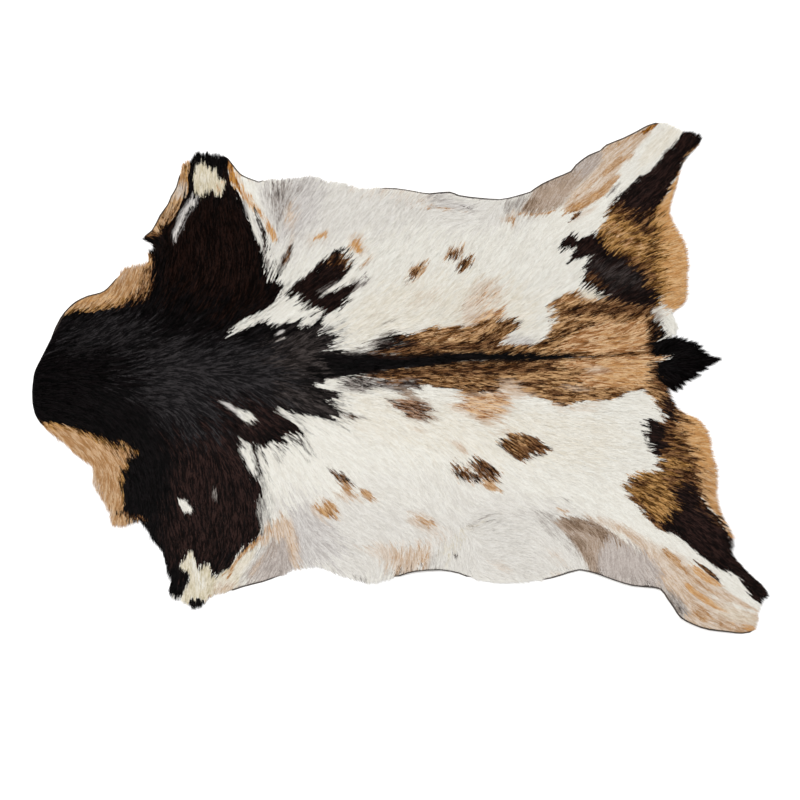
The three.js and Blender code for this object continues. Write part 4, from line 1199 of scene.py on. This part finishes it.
seen_along = root_along + way[:, 0] * length * SEEN_AT
seen_across = root_across + way[:, 1] * length * SEEN_AT
locks = combed("locks", root_along, root_across, flow)
wanderings = (fine, locks, broad, rng.random(len(yaw)))
wander = evened(sum(share * each for share, each in zip(WANDER_SHARES, wanderings))) * 2 - 1
mixing = combed("mixing", root_along, root_across, flow)
chance = evened(MIXING_SHARE * mixing + (1 - MIXING_SHARE) * rng.random(len(yaw)))
streaks = combed("streaks", root_along, root_across, flow)
tone = evened(STREAK_SHARE * streaks + (1 - STREAK_SHARE) * rng.random(len(yaw)))
tone = np.clip(0.5 + TONE_CONTRAST * (tone - 0.5), 0, 1)
coat = coat_colour(seen_along, seen_across, way, wander, chance, tone)
print("the coat's mean colour is", coat.mean(axis=0).round(3))

# %% [markdown]
# ## Shader sums
#
# Materials are written as sums on sockets. One small class wraps a socket, so that `a + b` or `a * b` adds
# the Math node that does it.

# %% Sockets as numbers
class Wire:
    """One socket of a material, which can be added and multiplied."""

    def __init__(self, tree, socket):
        self.tree = tree
        self.socket = socket

    def math(self, operation, first, second):
        node = self.tree.nodes.new("ShaderNodeMath")
        node.operation = operation
        for value, place in ((first, node.inputs[0]), (second, node.inputs[1])):
            if isinstance(value, Wire):
                self.tree.links.new(value.socket, place)
            else:
                place.default_value = value
        return Wire(self.tree, node.outputs[0])

    def __add__(self, other):
        return self.math("ADD", self, other)

    def __mul__(self, other):
        return self.math("MULTIPLY", self, other)

    __radd__ = __add__
    __rmul__ = __mul__


class Finish:
    """A material that is built node by node."""

    def __init__(self, name):
        self.material = bpy.data.materials.new(name)
        self.material.use_nodes = True
        self.tree = self.material.node_tree
        self.surface = self.tree.nodes["Principled BSDF"]

    def node(self, kind, settings=(), output=0, **sockets):
        """Adds a node, with its settings first and then its sockets' values or links."""
        node = self.tree.nodes.new(kind)
        for name, value in dict(settings).items():
            setattr(node, name, value)
        for name, value in sockets.items():
            self.join(node.inputs[name.replace("_", " ")], value)
        return Wire(self.tree, node.outputs[output])

    def join(self, place, value):
        if isinstance(value, Wire):
            self.tree.links.new(value.socket, place)
        else:
            place.default_value = value

    def wear(self, **sockets):
        """Sets or links the surface's own sockets."""
        for name, value in sockets.items():
            self.join(self.surface.inputs[name.replace("_", " ")], value)
        return self.material


# %% [markdown]
# Hair is smooth and faintly glossy, with a darker root where its neighbours shade it. Its colour comes from
# the hair itself, and so does the place along its length.

# %% Hair and leather finishes
HAIR_ROUGHNESS = 0.42
HAIR_GLOSS = 0.018
ROOT_SHADE = 0.72
PLACE_ON_OBJECT = 3  # an output of the texture coordinate node
NUMBER = 2  # an output of the attribute node
MIXED_COLOUR = 2  # an output of the mix node
MIX_INPUTS = (0, 6, 7)  # the mix node's share and two colours
SUEDE_DYES = ("A99B8A", "CFC5B6")
NAP_SCALE = 900.0
CLOUD_SCALE = 14.0
NAP_SHARE = 0.3
NAP_HEIGHT = 0.4 * MM
PORE_SCALE = 1200.0
PORE_DARKEST = 0.7
PORE_RANGE = 0.25


def hair_finish(name):
    finish = Finish(name)
    colour = finish.node("ShaderNodeAttribute", {"attribute_name": "coat"})
    reach = finish.node("ShaderNodeAttribute", {"attribute_name": "reach"}, output=NUMBER)
    light = ROOT_SHADE + (1 - ROOT_SHADE) * reach
    shaded = finish.node("ShaderNodeVectorMath", {"operation": "SCALE"}, Vector=colour, Scale=light)
    return finish.wear(Base_Color=shaded, Roughness=HAIR_ROUGHNESS, Specular_IOR_Level=HAIR_GLOSS)


def suede_finish():
    finish = Finish("suede")
    place = finish.node("ShaderNodeTexCoord", output=PLACE_ON_OBJECT)
    nap = finish.node("ShaderNodeTexNoise", Vector=place, Scale=NAP_SCALE, Detail=4.0)
    clouds = finish.node("ShaderNodeTexNoise", Vector=place, Scale=CLOUD_SCALE, Detail=3.0)
    colour = finish.node("ShaderNodeMix", {"data_type": "RGBA"}, output=MIXED_COLOUR)
    share, dark, light = (colour.socket.node.inputs[k] for k in MIX_INPUTS)
    finish.join(share, clouds * (1 - NAP_SHARE) + nap * NAP_SHARE)
    for socket, dye in zip((dark, light), SUEDE_DYES):
        socket.default_value = (*linear(dye), 1)
    bump = finish.node("ShaderNodeBump", Height=nap, Distance=NAP_HEIGHT, Strength=0.5)
    return finish.wear(Base_Color=colour, Roughness=0.92, Specular_IOR_Level=0.2, Normal=bump)


def skin_finish():
    finish = Finish("skin_under_the_hair")
    colour = finish.node("ShaderNodeAttribute", {"attribute_name": "coat"})
    place = finish.node("ShaderNodeTexCoord", output=PLACE_ON_OBJECT)
    pores = finish.node("ShaderNodeTexNoise", Vector=place, Scale=PORE_SCALE, Detail=2.0)
    light = PORE_DARKEST + PORE_RANGE * pores
    shaded = finish.node("ShaderNodeVectorMath", {"operation": "SCALE"}, Vector=colour, Scale=light)
    return finish.wear(Base_Color=shaded, Roughness=0.8, Specular_IOR_Level=0.2)


hair_material = hair_finish("hair")
leather.data.materials.append(skin_finish())
leather.data.materials.append(suede_finish())

# %% Colour of the skin under the hair
# The dark for the leather near the bare edges: the cut edge's own dark together with painted shadow of the
# lifted edge.
CUT_EDGE_AND_SHADOW_DYE = "3A322D"
CUT_AND_SHADOW_REACH = 2 * EDGE_SHOWN
CUT_AND_SHADOW_BARENESS = 0.4


def dye_leather(mesh):
    """Gives the leather the coat's colour, so that no gap between hairs shows."""
    places = np.empty(len(mesh.vertices) * 3)
    mesh.vertices.foreach_get("co", places)
    places = places.reshape(-1, 3)
    along, across = to_squares(places[:, 0], places[:, 1])
    even = np.full(len(along), 0.5)
    colours = np.ones((len(along), 4))
    colours[:, :3] = coat_colour(along, across, np.zeros((len(along), 2)), 0 * even, even, even)
    # Near the bare edges the leather is painted dark, as the cut edge with painted shadow of its lift.
    at_cut_and_shadow = (EDGE_DEPTH.at(along, across) < CUT_AND_SHADOW_REACH) & (BARE.at(along, across) > CUT_AND_SHADOW_BARENESS)
    colours[at_cut_and_shadow, :3] = linear(CUT_EDGE_AND_SHADOW_DYE)
    mesh.attributes.new("coat", "FLOAT_COLOR", "POINT").data.foreach_set("color", colours.ravel())


dye_leather(leather.data)

# %% [markdown]
# ## Growing the strands
#
# One strand is a slim kite of two triangles with a bend in its middle: hundreds of thousands of them must
# stay light. The tree puts one on each root, turned and scaled by the root's own numbers, and makes the
# whole coat real mesh. Curves or Blender's hair system would look alike, but they don't leave as plain
# mesh.

# %% One strand and the tree that plants it
STRAND_BEND = 0.11
STRAND_WIDEST = 0.45
CELL_MARGIN = 0.12
CELL_SHARE = 1 - 2 * CELL_MARGIN
TREE_INPUTS = {
    "Roots": "Geometry",
    "Strand": "Object",
    "Strand width": "Float",
    "Cell": "Float",
    "Hair": "Material",
}


def strand(name, rows):
    """A flat strand one unit long, from rows of reach, width and height."""
    places, reach, charted = [], [], []
    for at, width, height in rows:
        sides = (0,) if width == 0 else (0.5, -0.5)
        for side in sides:
            places.append((at, side * width, height))
            reach.append(at)
            charted.append((CELL_MARGIN + CELL_SHARE * at, 0.5 + CELL_SHARE * side * width))
    faces = [(0, 2, 1)]
    for row in range(len(rows) - 3):
        left = 1 + 2 * row
        faces += [(left, left + 1, left + 3), (left, left + 3, left + 2)]
    last = len(places) - 3
    faces.append((last, last + 1, last + 2))
    mesh = bpy.data.meshes.new(name)
    mesh.from_pydata(places, [], faces)
    mesh.shade_smooth()
    mesh.attributes.new("reach", "FLOAT", "POINT").data.foreach_set("value", reach)
    chart = mesh.attributes.new("strand_chart", "FLOAT_VECTOR", "CORNER")
    corners = [(*charted[vertex], 0) for face in faces for vertex in face]
    chart.data.foreach_set("vector", np.array(corners).ravel())
    return in_scene(name, mesh)


def coat_tree():
    """Plants a strand on every point and makes the result real mesh."""
    tree = bpy.data.node_groups.new("grow coat", "GeometryNodeTree")
    for label, kind in TREE_INPUTS.items():
        tree.interface.new_socket(label, in_out="INPUT", socket_type="NodeSocket" + kind)
    tree.interface.new_socket("Coat", in_out="OUTPUT", socket_type="NodeSocketGeometry")

    def add(kind, inputs, **settings):
        """Adds a node, with its settings first and then its inputs' values or links."""
        node = tree.nodes.new(kind)
        for name, value in settings.items():
            setattr(node, name, value)
        for place, value in inputs.items():
            if isinstance(value, bpy.types.NodeSocket):
                tree.links.new(value, node.inputs[place])
            else:
                node.inputs[place].default_value = value
        return node.outputs

    def named(name, kind="FLOAT"):
        return add("GeometryNodeInputNamedAttribute", {"Name": name}, data_type=kind)["Attribute"]

    given = add("NodeGroupInput", {})
    width = add("ShaderNodeMath", {0: given["Strand width"], 1: named("stout")}, operation="MULTIPLY")
    size = add("ShaderNodeCombineXYZ", {"X": named("length"), "Y": width[0], "Z": named("length")})
    planted = add("GeometryNodeInstanceOnPoints", {
        "Points": add("GeometryNodeMeshToPoints", {"Mesh": given["Roots"]})["Points"],
        "Instance": add("GeometryNodeObjectInfo", {"Object": given["Strand"]})["Geometry"],
        "Rotation": add("FunctionNodeEulerToRotation", {"Euler": named("turn", "FLOAT_VECTOR")})["Rotation"],
        "Scale": size["Vector"],
    })
    spread = add("ShaderNodeVectorMath", {
        0: named("strand_chart", "FLOAT_VECTOR"),
        1: given["Cell"],
        2: named("cell", "FLOAT_VECTOR"),
    }, operation="MULTIPLY_ADD")
    charted = add("GeometryNodeStoreNamedAttribute", {
        "Geometry": add("GeometryNodeRealizeInstances", {"Geometry": planted["Instances"]})["Geometry"],
        "Name": "OFBake",
        "Value": spread["Vector"],
    }, data_type="FLOAT2", domain="CORNER")
    coated = add("GeometryNodeSetMaterial", {"Geometry": charted["Geometry"], "Material": given["Hair"]})
    add("NodeGroupOutput", {"Coat": coated["Geometry"]})
    return tree


COAT_TREE = coat_tree()
SOCKET = {item.name: item.identifier for item in COAT_TREE.interface.items_tree if item.in_out == "INPUT"}
print("the tree takes", list(SOCKET))

# %% [markdown]
# Each hair also gets a small square of its own on the bake chart, so that a picture of the coat baked on it
# can hold every hair's colour. The squares are dealt out from one end of the skin to the other, so that
# neighbours on the chart are neighbours on the skin.

# %% Turn roots into coat
HAIR_WIDTH = 0.75 * MM
WIDTH_SPREAD = 0.25
LIFT = math.radians(8)
LIFT_SPREAD = math.radians(3.5)
LOCK_LIFT = math.radians(1.5)
ROLL_SPREAD = math.radians(8)
ROOT_SINK = 0.3 * MM
TIP_CLEAR = 0.4 * MM
STEEPEST_SINE = 0.5


def floor_pitch(base, length, steepest):
    """The pitch at which each hair's tip just clears the floor, with steepest as its largest sine."""
    return np.arcsin(np.clip((TIP_CLEAR - base) / (length * SQUARE), -steepest, steepest))


def chart_cells(along, across):
    """A small square of the bake chart for each hair, and the square's side."""
    count = len(along)
    rows = math.ceil(math.sqrt(count))
    order = np.argsort(across)
    cells = np.zeros((count, 3))
    for row in range(rows):
        strip = order[row * rows:(row + 1) * rows]
        strip = strip[np.argsort(along[strip])]
        cells[strip, 0] = np.arange(len(strip)) / rows
        cells[strip, 1] = row / rows
    return cells, 1 / rows


def grow(name, shape, hairs, width):
    """Plants the hairs, given as a dictionary of arrays, and returns their mesh object."""
    count = len(hairs["along"])
    x, y = to_metres(hairs["along"], hairs["across"])
    places = np.stack([x, y, hairs["height"]], axis=-1)
    cells, cell = chart_cells(hairs["along"], hairs["across"])
    mesh = bpy.data.meshes.new(name + "_roots")
    mesh.vertices.add(count)
    mesh.vertices.foreach_set("co", places.ravel())
    for label, kind, field, values in (
        ("length", "FLOAT", "value", hairs["length"]),
        ("stout", "FLOAT", "value", hairs["stout"]),
        ("turn", "FLOAT_VECTOR", "vector", hairs["turn"]),
        ("cell", "FLOAT_VECTOR", "vector", cells),
        ("coat", "FLOAT_COLOR", "color", np.hstack([hairs["coat"], np.ones((count, 1))])),
    ):
        mesh.attributes.new(label, kind, "POINT").data.foreach_set(field, values.ravel())
    piece = in_scene(name, mesh)
    modifier = piece.modifiers.new("grow", "NODES")
    modifier.node_group = COAT_TREE
    modifier[SOCKET["Strand"]] = shape
    modifier[SOCKET["Strand width"]] = width
    modifier[SOCKET["Cell"]] = cell
    modifier[SOCKET["Hair"]] = hair_material
    evaluated = piece.evaluated_get(bpy.context.evaluated_depsgraph_get())
    grown = bpy.data.meshes.new_from_object(evaluated)
    piece.modifiers.clear()
    piece.data = grown
    grown.name = name
    bpy.data.meshes.remove(mesh)
    for label in ("turn", "cell", "length", "stout", "strand_chart"):
        if label in grown.attributes:
            grown.attributes.remove(grown.attributes[label])
    print(name, len(grown.polygons), "triangles")
    return piece


short_strand = strand("short_strand", [(0, 0, 0), (STRAND_WIDEST, 1, STRAND_BEND), (1, 0, 0)])

# %% Five bands of coat, from the neck to the tail
BANDS = ["coat_neck", "coat_shoulders", "coat_barrel", "coat_loins", "coat_rump"]

height = LEATHER_BASE.at(root_along, root_across) + LEATHER_THICKNESS - ROOT_SINK
pitch = LIFT + LOCK_LIFT * (broad - 0.5) * 2 + LIFT_SPREAD * rng.standard_normal(len(yaw))
pitch = np.maximum(pitch, floor_pitch(height, length, STEEPEST_SINE))
roll = ROLL_SPREAD * rng.standard_normal(len(yaw))
stout = 1 + WIDTH_SPREAD * rng.uniform(-1, 1, len(yaw))
all_hairs = {
    "along": root_along,
    "across": root_across,
    "height": height,
    "length": length * SQUARE,
    "stout": stout,
    "turn": np.stack([roll, -pitch, yaw], axis=-1),
    "coat": coat,
}
order = np.argsort(root_along)
coats = []
hair_width = HAIR_WIDTH
for name, chosen in zip(BANDS, np.array_split(order, len(BANDS))):
    band_of_hair = {key: values[chosen] for key, values in all_hairs.items()}
    coats.append(grow(name, short_strand, band_of_hair, hair_width))

# %% [markdown]
# ## The tail
#
# The tail's tuft is the same hair grown long. Its locks fan out from the tail's root, and each draws
# together to a point, which is what gives the tuft its ragged rim. The points on the rim are pixels of the
# photo, and the ones inside are placed by chance between the heart of the tuft and its rim. A few pale
# locks from the rump lie at its left side. The strands have more bends than the short ones, so that they
# arch.

# %% The tail's tuft
TUFT_ROOT = (646, 362)
TUFT_HEART = (671, 361)
TUFT_POINTS = [
    (662, 338), (668, 336), (673, 337), (679, 335), (684, 336), (689, 338), (694, 341), (699, 342),
    (704, 345), (707, 350), (711, 354), (723, 359), (719, 361), (711, 364), (710, 369), (705, 371),
    (702, 376), (697, 379), (692, 381), (688, 386), (684, 390), (679, 393), (674, 391), (668, 389),
]
PALE_ROOT = (652, 306)
PALE_POINTS = [(672, 317), (675, 321), (677, 326), (678, 331), (676, 336), (672, 339), (669, 336), (670, 328)]
RIM_LOCK_HAIRS = 80
INNER_LOCKS = 260
INNER_LOCK_HAIRS = 26
PALE_LOCK_HAIRS = 50
LOCK_REACH = 2.1
PALE_REACH = 1.3
LOCK_SHARE = 0.75
LOCK_SHORTEST = 0.5
LOCK_BREADTH = 0.24
POINT_BREADTH = 0.1
INNER_RANGE = (0.3, 0.96)
TUFT_LENGTHS = (0.55, 1.0)
TUFT_DEPTH = 1.6 * MM
TUFT_STEEPEST_SINE = 0.3
TUFT_PITCH = math.radians(2.5)
TUFT_ROLL = 0.3
TUFT_WIDTH_SPREAD = 0.2
LONG_ROWS = [(0, 0, 0), (0.3, 1, 0.08), (0.65, 0.8, 0.09), (1, 0, 0)]
tuft_rng = np.random.default_rng(SEED + 1)
long_strand = strand("long_strand", LONG_ROWS)


def tuft_locks():
    """The root and the point of every lock, and how many hairs it has, the pale locks last."""
    (base, heart), rim = on_chart([TUFT_ROOT, TUFT_HEART]), on_chart(TUFT_POINTS)
    place = tuft_rng.random(INNER_LOCKS) * (len(rim) - 1)
    before = place.astype(int)
    between = rim[before] + (rim[before + 1] - rim[before]) * (place - before)[:, None]
    inner = heart + (between - heart) * tuft_rng.uniform(*INNER_RANGE, INNER_LOCKS)[:, None]
    points = np.vstack([rim, inner])
    reach = np.linalg.norm(points - heart, axis=-1, keepdims=True)
    roots = points - unit(points - base) * np.minimum(LOCK_SHARE * reach + LOCK_SHORTEST, LOCK_REACH)
    (pale_base,), pale = on_chart([PALE_ROOT]), on_chart(PALE_POINTS)
    pale_roots = pale - unit(pale - pale_base) * PALE_REACH
    hairs = [RIM_LOCK_HAIRS] * len(rim) + [INNER_LOCK_HAIRS] * INNER_LOCKS + [PALE_LOCK_HAIRS] * len(pale)
    return np.vstack([roots, pale_roots]), np.vstack([points, pale]), hairs


def tuft_hairs():
    """Hairs that start spread over each lock's breadth and draw together at its point."""
    roots, points, hairs = tuft_locks()
    lock = np.repeat(np.arange(len(hairs)), hairs)
    count = len(lock)
    start = roots[lock] + LOCK_BREADTH * tuft_rng.standard_normal((count, 2))
    tip = points[lock] + POINT_BREADTH * tuft_rng.standard_normal((count, 2))
    out = (tip - start) * tuft_rng.uniform(*TUFT_LENGTHS, count)[:, None]
    length = np.linalg.norm(out, axis=-1)
    base = LEATHER_BASE.at(*start.T) + LEATHER_THICKNESS + tuft_rng.uniform(0, TUFT_DEPTH, count)
    droop = floor_pitch(base, length, TUFT_STEEPEST_SINE)
    pitch = np.maximum(TUFT_PITCH * tuft_rng.standard_normal(count), droop)
    tone = tuft_rng.random(count)
    is_pale = (lock >= len(hairs) - len(PALE_POINTS))[:, None]
    stout = 1 + TUFT_WIDTH_SPREAD * tuft_rng.uniform(-1, 1, count)
    roll = TUFT_ROLL * tuft_rng.standard_normal(count)
    return {
        "along": start[:, 0],
        "across": start[:, 1],
        "height": base,
        "length": length * SQUARE,
        "stout": stout,
        "turn": np.stack([roll, -pitch, np.arctan2(out[:, 1], out[:, 0])], axis=-1),
        "coat": np.where(is_pale, dyed("white", tone), dyed("black", tone)),
    }


tuft = grow("tail_tuft", long_strand, tuft_hairs(), HAIR_WIDTH)
for shape in (short_strand, long_strand):
    bpy.data.objects.remove(shape)

# %% [markdown]
# ## Floor, light and camera
#
# The skin lies on a plain pale floor under one large soft light, with a pale surround to fill the shadows.
# The camera looks straight down, as a person would who stands over the rug with a long lens.

# %% Floor
FLOOR_SIDE = 12.0
FLOOR_GAP = 0.1 * MM
FLOOR_TONE = 0.95


def floor_sheet():
    half = FLOOR_SIDE / 2
    mesh = bpy.data.meshes.new("floor")
    corners = [(-half, -half), (half, -half), (half, half), (-half, half)]
    mesh.from_pydata([(x, y, -FLOOR_GAP) for x, y in corners], [], [(0, 1, 2, 3)])
    pale = (FLOOR_TONE, FLOOR_TONE, FLOOR_TONE, 1)
    mesh.materials.append(Finish("floor").wear(Base_Color=pale, Roughness=0.9, Specular_IOR_Level=0.1))
    return in_scene("floor", mesh)


floor = floor_sheet()

# %% Light
LIGHT_HEIGHT = 4.4
LIGHT_SIDE = 2.6
LIGHT_OFFSET = (-0.9, 1.1)
LIGHT_POWER = 205.0
SURROUND = 0.5


def soft_light(name, place, side, power):
    lamp = bpy.data.lights.new(name, "AREA")
    lamp.shape = "DISK"
    lamp.size = side
    lamp.energy = power
    light = in_scene(name, lamp)
    light.location = place
    light.rotation_euler = (-Vector(place)).to_track_quat("-Z", "Y").to_euler()
    light.visible_camera = False


soft_light("key", (*LIGHT_OFFSET, LIGHT_HEIGHT), LIGHT_SIDE, LIGHT_POWER)
world = bpy.data.worlds.new("surround")
world.use_nodes = True
sky = world.node_tree.nodes["Background"].inputs
sky["Color"].default_value = (1, 1, 1, 1)
sky["Strength"].default_value = SURROUND
bpy.context.scene.world = world
bpy.context.scene.view_settings.view_transform = "Standard"

# %% Camera
LENS = 100
SENSOR = 36
VIEW_SQUARES = 80.0
VIEW_CENTRE = (0.0, -2.3)


def overhead_camera():
    data = bpy.data.cameras.new("camera")
    data.lens = LENS
    data.sensor_width = SENSOR
    camera = in_scene("camera", data)
    distance = VIEW_SQUARES * SQUARE * LENS / SENSOR
    camera.location = (*to_metres(*VIEW_CENTRE), distance)
    bpy.context.scene.camera = camera
    return camera


print("the camera hangs", round(overhead_camera().location.z, 2), "metres up")

# %% [markdown]
# ## The pieces and their body
#
# Every piece lies still with the one body. The leather stands for the imported solid, which is hidden.

# %% Attach every piece to the body and hide the solid
for piece in (leather, tuft, *coats):
    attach(piece, "root")
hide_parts("hide")
